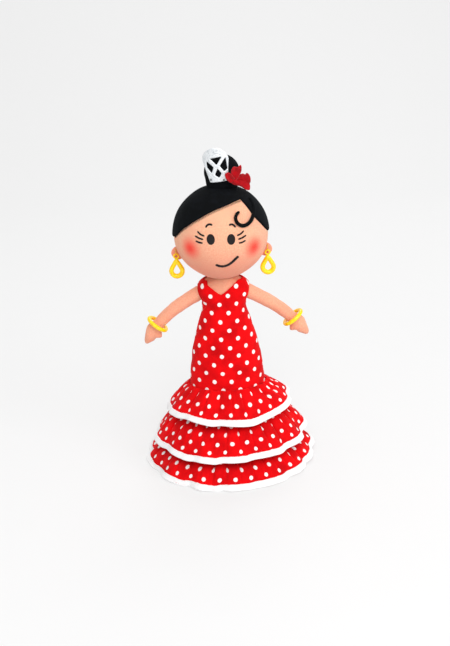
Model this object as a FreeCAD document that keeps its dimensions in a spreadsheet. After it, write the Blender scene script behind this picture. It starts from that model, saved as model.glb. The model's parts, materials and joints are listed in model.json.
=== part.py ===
"""Standing flamenco doll: a stuffed cloth doll in a ruffled dotted dress, 250 mm tall.

Frame: +Z up, the doll faces -Y, +X is the doll's left. The origin is on the surface that it
stands on, under the middle of its skirt. All sizes are in millimetres and degrees.
"""

import FreeCAD, Part
import math
import os

import Sketcher

Vector = FreeCAD.Vector
Rotation = FreeCAD.Rotation
Placement = FreeCAD.Placement

# Driving dimensions: (alias, value, what it is)
SIZES = [
    ("cloth_gap", 0.15, "slack between two layers of cloth"),
    ("joint_gap", 0.3, "clearance between pieces that move against each other"),
    ("knit_wall", 0.8, "thickness of the skin-coloured knit"),
    ("dress_wall", 0.8, "thickness of the dotted cotton with its lining"),
    ("felt_wall", 1.2, "thickness of the felt petals and hair cloth"),
    # base
    ("foot_felt", 1.0, "thickness of the felt under the base"),
    ("base_card", 2.0, "thickness of the stiff card disc"),
    ("base_radius", 50.0, "radius of the card disc and of the stuffed body's foot"),
    # stuffed body, outside the knit: half widths and half depths, with their heights
    ("hip_height", 62.0, "height of the seam that the top ruffle hangs from"),
    ("hip_wide", 29.0, "half width of the body at the hip seam"),
    ("hip_deep", 20.5, "half depth of the body at the hip seam"),
    ("waist_height", 98.0, "height of the waist"),
    ("waist_wide", 24.0, "half width at the waist"),
    ("waist_deep", 17.5, "half depth at the waist"),
    ("armpit_height", 129.0, "height of the armpits"),
    ("armpit_wide", 16.0, "half width at the armpits"),
    ("armpit_deep", 12.5, "half depth at the armpits"),
    ("shoulder_height", 140.0, "height of the widest part of the shoulders"),
    ("shoulder_wide", 18.4, "half width at the shoulders"),
    ("shoulder_deep", 12.0, "half depth at the shoulders"),
    ("strap_height", 148.2, "height of the top of the shoulders"),
    ("strap_wide", 15.0, "half width of the top of the shoulders"),
    ("strap_deep", 7.5, "half depth of the top of the shoulders"),
    ("neck_radius", 9.0, "radius of the neck"),
    ("neck_rise", 7.0, "how far the neck stands above the shoulders"),
    ("dowel_radius", 2.5, "radius of the wooden neck dowel"),
    ("dowel_foot", 60.0, "height of the dowel's lower end"),
    ("dowel_play", 0.06, "radial play of the dowel in the head"),
    # neckline of the dress
    ("neckline_wide", 12.8, "half width of the neckline at the shoulders"),
    ("neckline_front", 142.0, "height of the point of the V in front"),
    ("neckline_back", 145.0, "height of the neckline behind"),
    # underskirt and ruffles
    ("underskirt_foot", 3.6, "height of the underskirt's hem"),
    ("ruffle_wall", 1.0, "thickness of a gathered ruffle"),
    ("trim_wide", 5.0, "width of the white ribbon"),
    ("trim_proud", 0.3, "how far the ribbon stands proud of its ruffle on each side"),
    ("top_seam", 63.5, "height of the top ruffle's seam"),
    ("top_hem", 44.5, "height of the top ruffle's hem at its middle"),
    ("top_radius", 48.7, "radius of the top ruffle's hem"),
    ("top_tilt", 2.5, "tilt of the top hem, higher on the doll's left"),
    ("middle_seam", 47.0, "height of the middle ruffle's seam"),
    ("middle_hem", 19.5, "height of the middle ruffle's hem at its middle"),
    ("middle_radius", 61.0, "radius of the middle ruffle's hem"),
    ("middle_tilt", 3.2, "tilt of the middle hem"),
    ("bottom_seam", 20.0, "height of the bottom ruffle's seam"),
    ("bottom_hem", 3.4, "height of the bottom ruffle's hem at its middle"),
    ("bottom_radius", 67.7, "radius of the bottom ruffle's hem"),
    ("bottom_tilt", 2.5, "tilt of the bottom hem"),
    # head
    ("head_radius", 35.5, "radius of the head, outside the knit"),
    ("head_seat", 149.9, "height of the lowest point of the head"),
    ("neck_slack", 0.9, "how far the head's knit stops short of the dowel"),
    ("parting_across", 14.9, "how far the peak of the hairline is to the doll's left"),
    ("parting_drop", 7.5, "how far that peak is below the top of the head"),
    ("hairline_reach", 60.0, "half width over which the hairline is drawn"),
    ("fringe_across", 21.2, "how far the hairline's bend is to the doll's right"),
    ("fringe_drop", 14.2, "fall of the hairline from its peak to that bend"),
    ("temple_drop", 33.0, "fall from that bend to the edge of the drawing"),
    ("hairline_left_drop", 57.8, "fall of the slope on the doll's left over that reach"),
    ("hair_front", 10.0, "how far behind the middle the hair starts beside the ears"),
    ("nape_rise", 8.5, "how far above the bottom of the head the hair ends behind"),
    # bun
    ("bun_radius", 13.5, "radius of the bun"),
    ("bun_foot_in", 1.3, "how much slimmer the bun's foot is than the bun, each side"),
    ("bun_across", 2.8, "how far the bun is to the doll's left"),
    ("bun_back", 2.0, "how far the bun is behind the middle"),
    ("bun_rise", 10.4, "height of the bun's middle above the top of the head"),
    # comb
    ("comb_wall", 1.0, "thickness of the comb"),
    ("comb_across", -0.8, "how far the comb's middle is to the doll's left"),
    ("comb_rise", 5.7, "height of the comb's lower edge above the top of the head"),
    ("comb_tall", 23.8, "height of the comb"),
    ("comb_foot_wide", 6.2, "half width of the comb's lower edge"),
    ("comb_wide", 10.2, "half width of the comb, which is its top's radius"),
    ("comb_bar", 1.7, "width of the comb's bars"),
    ("stitch_radius", 0.5, "radius of the stitches that hold the comb"),
    # flower
    ("petal_radius", 5.0, "radius of a petal"),
    ("flower_across", 14.6, "how far the flower's middle is to the doll's left"),
    ("flower_rise", 8.1, "height of the flower's middle above the top of the head"),
    ("flower_front", 15.4, "how far the front petal is before the middle of the head"),
    # curl on the forehead
    ("curl_radius", 6.6, "radius of the curl's bend"),
    ("curl_cord", 0.85, "radius of the curl's cord"),
    ("curl_across", 15.6, "how far the curl's middle is to the doll's left"),
    ("curl_rise", 17.0, "height of the curl's middle above the middle of the head"),
    ("curl_sweep", 235.0, "how far the curl turns"),
    # ears and earrings
    ("ear_radius", 5.2, "radius of an ear"),
    ("ear_angle", 24.5, "how far down the side of the head an ear's middle is"),
    ("ear_sink", 0.8, "how far an ear's middle is inside the head"),
    ("ear_wall", 1.4, "thickness of an ear"),
    ("loop_angle", 21.0, "how far down the side of the head the thread loop is"),
    ("loop_clear", 2.0, "how far the thread loop's middle is from the head"),
    ("loop_radius", 2.6, "radius of the thread loop"),
    ("loop_cord", 0.35, "radius of its thread"),
    ("eyelet_radius", 1.75, "radius of the eyelet's ring"),
    ("eyelet_cord", 0.6, "radius of the eyelet's section"),
    ("hoop_radius", 4.3, "radius of the hoop's round end, to the middle of its section"),
    ("hoop_cord", 1.85, "radius of the hoop's section"),
    ("hoop_reach", 8.4, "distance from the hoop's point to the middle of its round end"),
    # arms
    ("pivot_out", 18.5, "distance of a shoulder's pivot from the middle"),
    ("pivot_height", 138.6, "height of the shoulder's pivot"),
    ("arm_droop", 38.6, "how far the arm points below the horizontal"),
    ("arm_radius", 5.6, "radius of the arm at the shoulder"),
    ("wrist_radius", 4.5, "radius of the wrist"),
    ("wrist_reach", 42.3, "distance from the pivot to the wrist"),
    ("hand_reach", 50.4, "distance from the pivot to the middle of the hand"),
    ("hand_long", 7.8, "half length of the hand"),
    ("hand_wide", 6.2, "half width of the hand"),
    ("hand_thick", 4.8, "half thickness of the hand"),
    ("arm_raise", 38.0, "how far the armholes let the arm lift from rest"),
    ("arm_lower", 25.0, "how far the armholes let the arm drop from rest"),
    ("knot_radius", 2.4, "radius of the knot of thread inside the shoulder"),
    ("wire_radius", 0.6, "radius of the arm's wire"),
    ("bangle_radius", 7.1, "radius of the bangle, to the middle of its section"),
    ("bangle_cord", 1.2, "radius of the bangle's section"),
    ("bangle_tilt", 14.0, "tilt of the bangle on the wrist"),
]

SIDES = (("left", 1), ("right", -1))
FAR = 400.0  # longer than anything in the model, for cutting tools
LOOP_FRONT = "(sizes.ear_wall / 2 - sizes.loop_radius)"  # the loop's back is inside the ear
HEAD_MIDDLE = "(sizes.head_seat + sizes.head_radius)"
HEAD_TOP = "(sizes.head_seat + 2 * sizes.head_radius)"
COMB_FOOT = f"({HEAD_TOP} + sizes.comb_rise)"

doc = FreeCAD.newDocument("flamenco_doll")
sheet = doc.addObject("Spreadsheet::Sheet", "sizes")
probe = doc.addObject("App::FeaturePython", "probe")
probe.addProperty("App::PropertyFloat", "Value")
parts = []


def fill_sheet():
    """Writes the driving dimensions into the spreadsheet, one row each."""
    for row, (alias, value, note) in enumerate(SIZES, 1):
        sheet.set(f"A{row}", note)
        sheet.set(f"B{row}", str(value))
        sheet.setAlias(f"B{row}", alias)
    doc.recompute()


def size(alias):
    """The value of one driving dimension."""
    return float(sheet.get(alias))


def size_of(expression):
    """The number that an expression on the spreadsheet stands for."""
    probe.setExpression("Value", expression)
    probe.recompute()
    return probe.Value


def keep(made, label):
    """Marks an object as a finished sub-part, which is exported under its label."""
    made.Label = label
    parts.append(made)
    return made


def add(kind, name, at=None, turn=None, **sizes):
    """A Part primitive whose sizes, and place if at is given, are bound to expressions.

    Names such as sizes.head_radius in the expressions are cells of the spreadsheet.
    """
    made = doc.addObject(kind, name)
    made.Placement = Placement(Vector(), turn or Rotation())
    for prop, expression in sizes.items():
        made.setExpression(prop, expression)
    for axis, expression in zip("xyz", at or ()):
        made.setExpression(f"Placement.Base.{axis}", expression)
    return made


def cut(name, base, *tools):
    """base with every tool taken away, one after the other."""
    last = len(tools) - 1
    for number, tool in enumerate(tools):
        step = name if number == last else f"{name}_step_{number}"
        made = doc.addObject("Part::Cut", step)
        made.Base = base
        made.Tool = tool
        base = made
    return base


def fuse(name, *shapes):
    made = doc.addObject("Part::MultiFuse", name)
    made.Shapes = list(shapes)
    return made


def common(name, base, tool):
    made = doc.addObject("Part::Common", name)
    made.Base = base
    made.Tool = tool
    return made


def plane_of(body, role):
    return next(f for f in body.Origin.OriginFeatures if f.Role == role)


def new_sketch(body, name, role="XY_Plane"):
    sketch = body.newObject("Sketcher::SketchObject", name)
    sketch.AttachmentSupport = [(plane_of(body, role), "")]
    sketch.MapMode = "FlatFace"
    return sketch


def draw_circle(sketch, radius, across="0", up="0"):
    """A circle whose middle and radius are bound to expressions."""
    edge = sketch.addGeometry(Part.Circle(Vector(1, 1, 0), Vector(0, 0, 1), 5), False)
    bonds = (
        (Sketcher.Constraint("Radius", edge, 5), radius),
        (Sketcher.Constraint("DistanceX", -1, 1, edge, 3, 1), across),
        (Sketcher.Constraint("DistanceY", -1, 1, edge, 3, 1), up),
    )
    for constraint, expression in bonds:
        number = sketch.addConstraint(constraint)
        sketch.setExpression(f"Constraints[{number}]", expression)


def draw_polygon(sketch, corners):
    """A closed outline of straight edges, each corner bound to two expressions."""
    count = len(corners)
    first = sketch.GeometryCount
    ring = [Rotation(Vector(0, 0, 1), 360 * k / count).multVec(Vector(10, 0, 0))
            for k in range(count)]
    for k in range(count):
        sketch.addGeometry(Part.LineSegment(ring[k], ring[(k + 1) % count]), False)
    for k in range(count):
        following = first + (k + 1) % count
        sketch.addConstraint(Sketcher.Constraint("Coincident", first + k, 2, following, 1))
    for k, corner in enumerate(corners):
        for kind, start, expression in zip(("DistanceX", "DistanceY"), ring[k], corner):
            bond = Sketcher.Constraint(kind, -1, 1, first + k, 1, start)
            number = sketch.addConstraint(bond)
            sketch.setExpression(f"Constraints[{number}]", expression)


def pad(body, sketch, name, length, midplane=False):
    made = body.newObject("PartDesign::Pad", name)
    made.Profile = sketch
    made.Midplane = midplane
    made.setExpression("Length", length)
    return made


def disc_body(name, radius, thickness, height):
    """A round plate standing at a height, as a body with one pad."""
    body = doc.addObject("PartDesign::Body", name)
    sketch = new_sketch(body, f"{name}_outline")
    draw_circle(sketch, radius)
    pad(body, sketch, f"{name}_pad", thickness)
    body.setExpression("Placement.Base.z", height)
    return body


def prism(name, corners, front, back):
    """An outline in the XZ plane, drawn through the doll from y = front to y = back."""
    body = doc.addObject("PartDesign::Body", name)
    sketch = new_sketch(body, f"{name}_outline", "XZ_Plane")
    draw_polygon(sketch, corners)
    pad(body, sketch, f"{name}_pad", f"({back}) - ({front})")
    body.setExpression("Placement.Base.y", back)
    return body


def stack(name, rings):
    """A solid through a stack of ellipses, each (height, half width, half depth, tilt)."""
    ellipses = []
    for number, (height, wide, deep, tilt) in enumerate(rings):
        wider = size_of(wide) >= size_of(deep)
        ring = doc.addObject("Part::Ellipse", f"{name}_ring_{number}")
        ring.setExpression("MajorRadius", wide if wider else deep)
        ring.setExpression("MinorRadius", deep if wider else wide)
        quarter = 0 if wider else 90
        turn = Rotation(Vector(0, 1, 0), -tilt).multiply(Rotation(Vector(0, 0, 1), quarter))
        ring.Placement = Placement(Vector(), turn)
        ring.setExpression("Placement.Base.z", height)
        ellipses.append(ring)
    loft = doc.addObject("Part::Loft", name)
    loft.Sections = ellipses
    loft.Solid = True
    loft.Ruled = True
    return loft


def between(low, high, share):
    """An expression that share of the way from one expression to another."""
    return f"(({low}) + (({high}) - ({low})) * ({share}))"


def flare(side, height):
    """Half width or half depth of the stuffed body below the hip, at a height."""
    foot = "(sizes.foot_felt + sizes.base_card)"
    share = f"({height} - {foot}) / (sizes.hip_height - {foot})"
    return between("sizes.base_radius", f"sizes.hip_{side}", share)


def body_rings(out, foot):
    """The stuffed body's rings, moved out by an expression, from a foot height upwards."""
    rings = [(foot, f"{flare('wide', foot)} + {out}", f"{flare('deep', foot)} + {out}", 0)]
    for place in ("hip", "waist", "armpit", "shoulder", "strap"):
        height = f"sizes.{place}_height"
        if place == "strap":
            height = f"{height} + {out}"
        rings.append((height, f"sizes.{place}_wide + {out}", f"sizes.{place}_deep + {out}", 0))
    return rings


def ball(name, radius, rise="0"):
    """A ball about the middle of the head, or above it."""
    at = ("0", "0", f"{HEAD_MIDDLE} + {rise}")
    return add("Part::Sphere", name, at, Radius=radius)


def upright(name, radius, foot, top, across="0", back="0"):
    """An upright round bar from one height to another."""
    at = (across, back, foot)
    return add("Part::Cylinder", name, at, Radius=radius, Height=f"({top}) - ({foot})")


def fore_and_aft(name, radius, across, front, height, length):
    """A round bar along Y, from its front face backwards."""
    turn = Rotation(Vector(1, 0, 0), -90)
    return add("Part::Cylinder", name, (across, front, height), turn,
               Radius=radius, Height=length)


def half(name, behind):
    """Everything in front of the middle plane, or everything behind it."""
    at = (f"-{FAR / 2}", "0" if behind else f"-{FAR}", f"-{FAR / 2}")
    return add("Part::Box", name, at, Length=f"{FAR}", Width=f"{FAR}", Height=f"{FAR}")


def arm_turn(sign, droop):
    """The rotation that lays a bar's own Z along an arm on one side."""
    return Rotation(Vector(0, 1, 0), sign * (90 + droop))


def armholes(name, extra):
    """The room that both arms need at the shoulders over their whole travel."""
    tools = []
    radius = f"sizes.arm_radius + sizes.joint_gap + {extra}"
    rest, rise, fall = size("arm_droop"), size("arm_raise"), size("arm_lower")
    for side, sign in SIDES:
        at = (f"{sign} * sizes.pivot_out", "0", "sizes.pivot_height")
        tools.append(add("Part::Sphere", f"{name}_{side}", at, Radius=radius))
        for number, droop in enumerate((rest - rise, rest, rest + fall / 2, rest + fall)):
            tools.append(add("Part::Cylinder", f"{name}_{side}_{number}", at,
                             arm_turn(sign, droop), Radius=radius, Height="30"))
    return fuse(name, *tools)


def make_base():
    keep(disc_body("base_felt", "sizes.base_radius", "sizes.foot_felt", "0"), "base_felt")
    card = disc_body("base_disc", "sizes.base_radius", "sizes.base_card", "sizes.foot_felt")
    keep(card, "base_disc")


def make_dowel():
    body = disc_body("neck_dowel", "sizes.dowel_radius",
                     f"{HEAD_MIDDLE} - sizes.dowel_foot", "sizes.dowel_foot")
    keep(body, "neck_dowel")


def make_torso():
    """The stuffed body with its neck, as filling and knit cover."""
    foot = "(sizes.foot_felt + sizes.base_card)"
    neck_top = "sizes.strap_height + sizes.neck_rise"
    head_room = ball("head_room", "sizes.head_radius + sizes.joint_gap")
    arm_room = armholes("arm_room", "0")
    outer = fuse("torso_outer", stack("torso_outside", body_rings("0", foot)),
                 upright("neck_outside", "sizes.neck_radius", "sizes.armpit_height", neck_top))
    wall = "-sizes.knit_wall"
    inner = fuse("torso_inner", stack("torso_inside", body_rings(wall, foot)),
                 upright("neck_inside", f"sizes.neck_radius {wall}", "sizes.armpit_height",
                         neck_top))
    inner_room = armholes("arm_inner_room", "sizes.knit_wall")
    inner_head_room = ball("head_inner_room",
                           "sizes.head_radius + sizes.joint_gap + sizes.knit_wall")
    dowel_hole = upright("dowel_hole", "sizes.dowel_radius", "sizes.dowel_foot",
                         HEAD_MIDDLE)
    stuffed = cut("torso_stuffed", inner, inner_room, inner_head_room)
    filling = cut("body_filling", stuffed, dowel_hole)
    keep(filling, "body_filling")
    cover = cut("body_cover", outer, head_room, arm_room, stuffed, dowel_hole)
    keep(cover, "body_cover")


def make_dress():
    """The dotted sheath, open at the neck and arms, in a front and a back panel."""
    foot = "(sizes.hip_height - 5)"
    outer = stack("dress_outside",
                  body_rings("(sizes.cloth_gap + sizes.dress_wall)", foot))
    inner = stack("dress_inside", body_rings("sizes.cloth_gap", foot))
    wide = "sizes.neckline_wide"
    top = f"(sizes.strap_height + {FAR / 10})"
    front_point = "sizes.neckline_front"
    front = prism("front_neckline",
                  [("0", front_point), (wide, "sizes.strap_height"), (wide, top),
                   (f"-{wide}", top), (f"-{wide}", "sizes.strap_height")],
                  f"-{FAR / 4}", "0")
    back = prism("back_neckline",
                 [(wide, "sizes.neckline_back"), (wide, top),
                  (f"-{wide}", top), (f"-{wide}", "sizes.neckline_back")],
                 "0", f"{FAR / 4}")
    shell = cut("dress_shell", outer, inner, front, back,
                armholes("dress_armholes", "0"))
    keep(cut("dress_front", shell, half("behind", True)), "dress_front")
    keep(cut("dress_back", shell, half("before", False)), "dress_back")


def make_underskirt():
    """The red cone under the ruffles, which carries the two lower ones."""
    foot, top = "sizes.underskirt_foot", "(sizes.hip_height - 5)"
    layers = []
    for name, out in (("outside", "(sizes.cloth_gap + sizes.dress_wall)"),
                      ("inside", "sizes.cloth_gap")):
        rings = [(h, f"{flare('wide', h)} + {out}", f"{flare('deep', h)} + {out}", 0)
                 for h in (foot, top)]
        layers.append(stack(f"underskirt_{name}", rings))
    keep(cut("underskirt", *layers), "underskirt")


def seam_size(tier, side):
    """Half width or half depth of the cloth that a ruffle is sewn to, at its seam."""
    height = f"sizes.{tier}_seam"
    if tier != "top":
        return flare(side, height)
    share = f"({height} - sizes.hip_height) / (sizes.waist_height - sizes.hip_height)"
    return between(f"sizes.hip_{side}", f"sizes.waist_{side}", share)


def ruffle_ring(tier, share, out):
    """One ring of a ruffle: share 0 is its seam and 1 its hem, moved out by out."""
    under = "2 * sizes.cloth_gap + sizes.dress_wall"
    wide, deep = (
        between(f"{seam_size(tier, side)} + {under} + {out}",
                f"sizes.{tier}_radius - sizes.ruffle_wall + {out}", share)
        for side in ("wide", "deep")
    )
    height = between(f"sizes.{tier}_seam", f"sizes.{tier}_hem", share)
    return height, wide, deep, size(f"{tier}_tilt") * size_of(share)


def make_ruffle(tier):
    """One gathered ruffle and the white ribbon that binds its hem."""
    fall = f"(sizes.{tier}_seam - sizes.{tier}_hem)"
    spread = f"(sizes.{tier}_radius - ({seam_size(tier, 'wide')}))"
    bound = f"(1 - sizes.trim_wide / sqrt({fall} * {fall} + {spread} * {spread}))"
    wall, proud = "sizes.ruffle_wall", "sizes.trim_proud"
    cloth = [stack(f"ruffle_{tier}_{name}",
                   [ruffle_ring(tier, bound, out), ruffle_ring(tier, "0", out)])
             for name, out in (("outside", wall), ("inside", "0"))]
    keep(cut(f"ruffle_{tier}", *cloth), f"ruffle_{tier}")
    ribbon = [stack(f"trim_{tier}_{name}",
                    [ruffle_ring(tier, "1", out), ruffle_ring(tier, bound, out)])
              for name, out in (("outside", f"{wall} + {proud}"), ("inside", f"-{proud}"))]
    keep(cut(f"trim_{tier}", *ribbon), f"trim_{tier}")


def make_head():
    """The round head: filling with the dowel's bore, knit cover and hair cloth."""
    radius = "sizes.head_radius"
    inside = f"{radius} - sizes.knit_wall"
    bore = upright("head_bore", "sizes.dowel_radius + sizes.dowel_play",
                   "sizes.head_seat", f"{HEAD_MIDDLE} + sizes.joint_gap")
    keep(cut("head_filling", ball("head_ball", inside), bore), "head_filling")
    opening = upright("head_opening", "sizes.dowel_radius + sizes.neck_slack",
                      "sizes.head_seat - sizes.head_radius", HEAD_MIDDLE)
    cover = cut("head_cover", ball("cover_outside", radius), ball("cover_inside", inside),
                opening)
    keep(cover, "head_cover")
    keep(cut("hair_cap", ball("hair_outside", f"{radius} + sizes.felt_wall"),
             ball("hair_inside", radius), face_window(), nape_tool()), "hair_cap")


def face_window():
    """The part of the hair cloth that is left open round the face and ears."""
    reach = "sizes.hairline_reach"
    peak = f"({HEAD_TOP} - sizes.parting_drop)"
    return prism("face_window",
                 [("sizes.parting_across", peak),
                  (reach, f"{peak} - sizes.hairline_left_drop"),
                  (reach, f"{HEAD_MIDDLE} - {reach}"),
                  (f"-{reach}", f"{HEAD_MIDDLE} - {reach}"),
                  (f"-{reach}", f"{peak} - sizes.fringe_drop - sizes.temple_drop"),
                  ("-sizes.fringe_across", f"{peak} - sizes.fringe_drop")],
                 f"-{reach}", "sizes.hair_front")


def nape_tool():
    top = "(sizes.head_seat + sizes.nape_rise)"
    return upright("below_nape", "2 * sizes.head_radius", f"{top} - {FAR / 4}", top)


def make_bun():
    """The bun on the crown, stuffed, and its cover of hair cloth."""
    bun_middle = f"({HEAD_TOP} + sizes.bun_rise)"
    at = ("sizes.bun_across", "sizes.bun_back", bun_middle)
    crown = ball("crown", "sizes.head_radius + sizes.felt_wall")
    inner_crown = ball("inner_crown", "sizes.head_radius + 2 * sizes.felt_wall")

    def dome(name, wall):
        return fuse(name,
                    add("Part::Sphere", f"{name}_ball", at, Radius=f"sizes.bun_radius - {wall}"),
                    upright(f"{name}_foot", f"sizes.bun_radius - sizes.bun_foot_in - {wall}", HEAD_MIDDLE,
                            bun_middle, "sizes.bun_across", "sizes.bun_back"))

    filling = cut("bun_filling", dome("bun_inner", "sizes.felt_wall"), inner_crown)
    keep(filling, "bun_filling")
    keep(cut("bun_cover", dome("bun_outer", "0"), crown, filling), "bun_cover")


def comb_windows():
    """The four openings of the comb, as outlines about its middle."""
    foot = COMB_FOOT
    middle = "sizes.comb_across"
    bar, wide = "sizes.comb_bar", "sizes.comb_wide"
    cross = f"({foot} + sizes.comb_tall * 0.47)"
    crown = f"({foot} + sizes.comb_tall * 0.76)"
    sill = f"({foot} + sizes.comb_tall * 0.16)"
    top = [(middle, f"{cross} + {bar}"),
           (f"{middle} + {wide} * 0.5", f"{crown}"),
           (f"{middle} - {wide} * 0.5", f"{crown}")]
    drop = [(middle, f"{cross} - {bar}"),
            (f"{middle} + {wide} * 0.22", f"{sill} + {bar}"),
            (middle, sill),
            (f"{middle} - {wide} * 0.22", f"{sill} + {bar}")]
    sides = []
    for sign in (1, -1):
        inner = f"{middle} + {sign} * {bar} * 1.1"
        outer = f"{middle} + {sign} * ({wide} - {bar})"
        sides.append([(inner, cross), (outer, f"{crown} - {bar} * 0.8"),
                      (f"{outer} - {sign} * {wide} * 0.02", f"{cross} - {bar}"),
                      (f"{middle} + {sign} * {wide} * 0.5", f"{sill} + {bar} * 1.4")])
    return [top, drop, *sides]


def make_comb():
    """The tall openwork comb, bent round the bun, and the stitches that hold it."""
    foot = COMB_FOOT
    round_middle = f"{foot} + sizes.comb_tall - sizes.comb_wide"
    middle = "sizes.comb_across"
    plate = doc.addObject("PartDesign::Body", "comb_plate")
    lower = new_sketch(plate, "comb_lower", "XZ_Plane")
    draw_polygon(lower, [(f"{middle} - sizes.comb_foot_wide", foot),
                         (f"{middle} + sizes.comb_foot_wide", foot),
                         (f"{middle} + sizes.comb_wide", round_middle),
                         (f"{middle} - sizes.comb_wide", round_middle)])
    pad(plate, lower, "comb_lower_pad", "2 * sizes.bun_radius + 8")
    upper = new_sketch(plate, "comb_upper", "XZ_Plane")
    draw_circle(upper, "sizes.comb_wide", middle, round_middle)
    pad(plate, upper, "comb_upper_pad", "2 * sizes.bun_radius + 8")
    openings = new_sketch(plate, "comb_openings", "XZ_Plane")
    for outline in comb_windows():
        draw_polygon(openings, outline)
    stitch_out = "sizes.comb_foot_wide - 2.5 * sizes.stitch_radius"
    stitch_height = f"{foot} + 2.5 * sizes.stitch_radius"
    for sign in (1, -1):
        draw_circle(openings, "sizes.stitch_radius",
                    f"{middle} + {sign} * ({stitch_out})", stitch_height)
    doc.recompute()
    pocket = plate.newObject("PartDesign::Pocket", "comb_pocket")
    pocket.Profile = openings
    pocket.Type = "ThroughAll"
    pocket.Midplane = True
    at = ("sizes.bun_across", "sizes.bun_back", foot)
    inner_radius = "sizes.bun_radius + sizes.cloth_gap"
    tall = "sizes.comb_tall"
    bend = cut("comb_bend",
               add("Part::Cylinder", "bend_outside", at,
                   Radius=f"{inner_radius} + sizes.comb_wall", Height=tall),
               add("Part::Cylinder", "bend_inside", at, Radius=inner_radius, Height=tall))
    keep(common("hair_comb", plate, bend), "hair_comb")
    make_comb_stitches(inner_radius, stitch_out, stitch_height)


def make_comb_stitches(inner_radius, stitch_out, stitch_height):
    """Two stitches through the comb's lower corners, ending on the bun."""
    reach = f"({inner_radius} + 2 * sizes.comb_wall)"
    at = ("sizes.bun_across", "sizes.bun_back", HEAD_MIDDLE)
    slab = add("Part::Cylinder", "stitch_slab", at, Radius=reach, Height=f"{FAR}")
    core = add("Part::Cylinder", "stitch_core", at, Radius=inner_radius, Height=f"{FAR}")
    pins = []
    for side, sign in SIDES:
        across = f"sizes.comb_across + {sign} * ({stitch_out})"
        pins.append(fore_and_aft(f"stitch_pin_{side}", "sizes.stitch_radius", across,
                                 f"-{reach} - 4", stitch_height, f"{reach}"))
    keep(cut("comb_stitches", common("stitch_length", fuse("stitch_pins", *pins), slab), core),
         "comb_stitches")


def make_flower():
    """Felt petals beside the bun, one before the other, and the folded one below."""
    middle = "sizes.flower_across"
    rise = f"({HEAD_TOP} + sizes.flower_rise)"
    step = "sizes.felt_wall"
    radius = "sizes.petal_radius"
    petals = (
        ("flower_petal_front", f"{middle} - {radius} * 1.4", f"{rise} + 1", "0", 0.76),
        ("flower_petal_top", f"{middle} - {radius} * 0.4", f"{rise} + {radius} * 0.7", "1", 1.0),
        ("flower_petal_side", f"{middle} + {radius} * 0.7", f"{rise} - 1", "2", 1.0),
    )
    for label, across, height, layer, share in petals:
        petal = fore_and_aft(label, f"{radius} * {share}", across,
                             f"-sizes.flower_front + {layer} * {step}", height,
                             "sizes.felt_wall")
        keep(petal, label)
    at = (f"{middle} - {radius} * 1.7", f"-sizes.flower_front - 2 * {step}",
          f"{rise} - {radius} * 1.2")
    fold = add("Part::Box", "flower_fold", at, Rotation(Vector(0, 1, 0), 12),
               Length=f"{radius} * 3.2", Width=f"2 * {step}", Height=f"{radius} * 0.9")
    keep(fold, "flower_fold")


def make_curl():
    """The flat curl of cord that lies on the forehead, stopped at the hair cloth."""
    radius = size("head_radius") + size("curl_cord") + 0.02
    across, rise = size("curl_across"), size("curl_rise")
    front = -math.sqrt(radius ** 2 - across ** 2 - rise ** 2)
    outward = Vector(across, front, rise).normalize()
    away = math.sqrt(radius ** 2 - size("curl_radius") ** 2)
    middle = Vector(0, 0, size_of(HEAD_MIDDLE)) + outward * away
    face = Rotation(Vector(0, 0, 1), outward)
    start = Rotation(Vector(0, 0, 1), 70)
    curl = doc.addObject("Part::Torus", "curl_bend")
    curl.Placement = Placement(middle, face.multiply(start))
    curl.setExpression("Radius1", "sizes.curl_radius")
    curl.setExpression("Radius2", "sizes.curl_cord")
    curl.setExpression("Angle3", "sizes.curl_sweep")
    keep(cut("forehead_curl", curl, hair_room()), "forehead_curl")


def hair_room():
    """The hair cloth again, as a tool that keeps the curl off it."""
    outer = ball("hair_room_outside", "sizes.head_radius + 4 * sizes.felt_wall")
    return cut("hair_room", outer, doc.getObject("face_window"))


def on_side(piece, out):
    """How far across and how high a point down the side of the head is."""
    radius = f"(sizes.head_radius + {out})"
    return (f"({radius} * cos(sizes.{piece}_angle))",
            f"({HEAD_MIDDLE} - {radius} * sin(sizes.{piece}_angle))")


def make_ears():
    """Felt ears, each with a slot for the thread that carries an earring."""
    for side, sign in SIDES:
        across, height = on_side("ear", "-sizes.ear_sink")
        flap = fore_and_aft(f"ear_flap_{side}", "sizes.ear_radius", f"{sign} * {across}",
                            "0", height, "sizes.ear_wall")
        slot = thread_loop(f"ear_slot_{side}", sign, "sizes.loop_cord + sizes.joint_gap")
        ear = cut(f"ear_{side}", flap, ball(f"ear_head_{side}", "sizes.head_radius"), slot)
        keep(ear, f"ear_{side}")


def thread_loop(name, sign, cord):
    """The ring of thread that is sewn into an ear and stands out in front of it."""
    across, height = on_side("loop", "sizes.loop_clear")
    at = (f"{sign} * {across}", LOOP_FRONT, height)
    return add("Part::Torus", name, at, Rotation(Vector(0, 1, 0), 90),
               Radius1="sizes.loop_radius", Radius2=cord)


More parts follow.
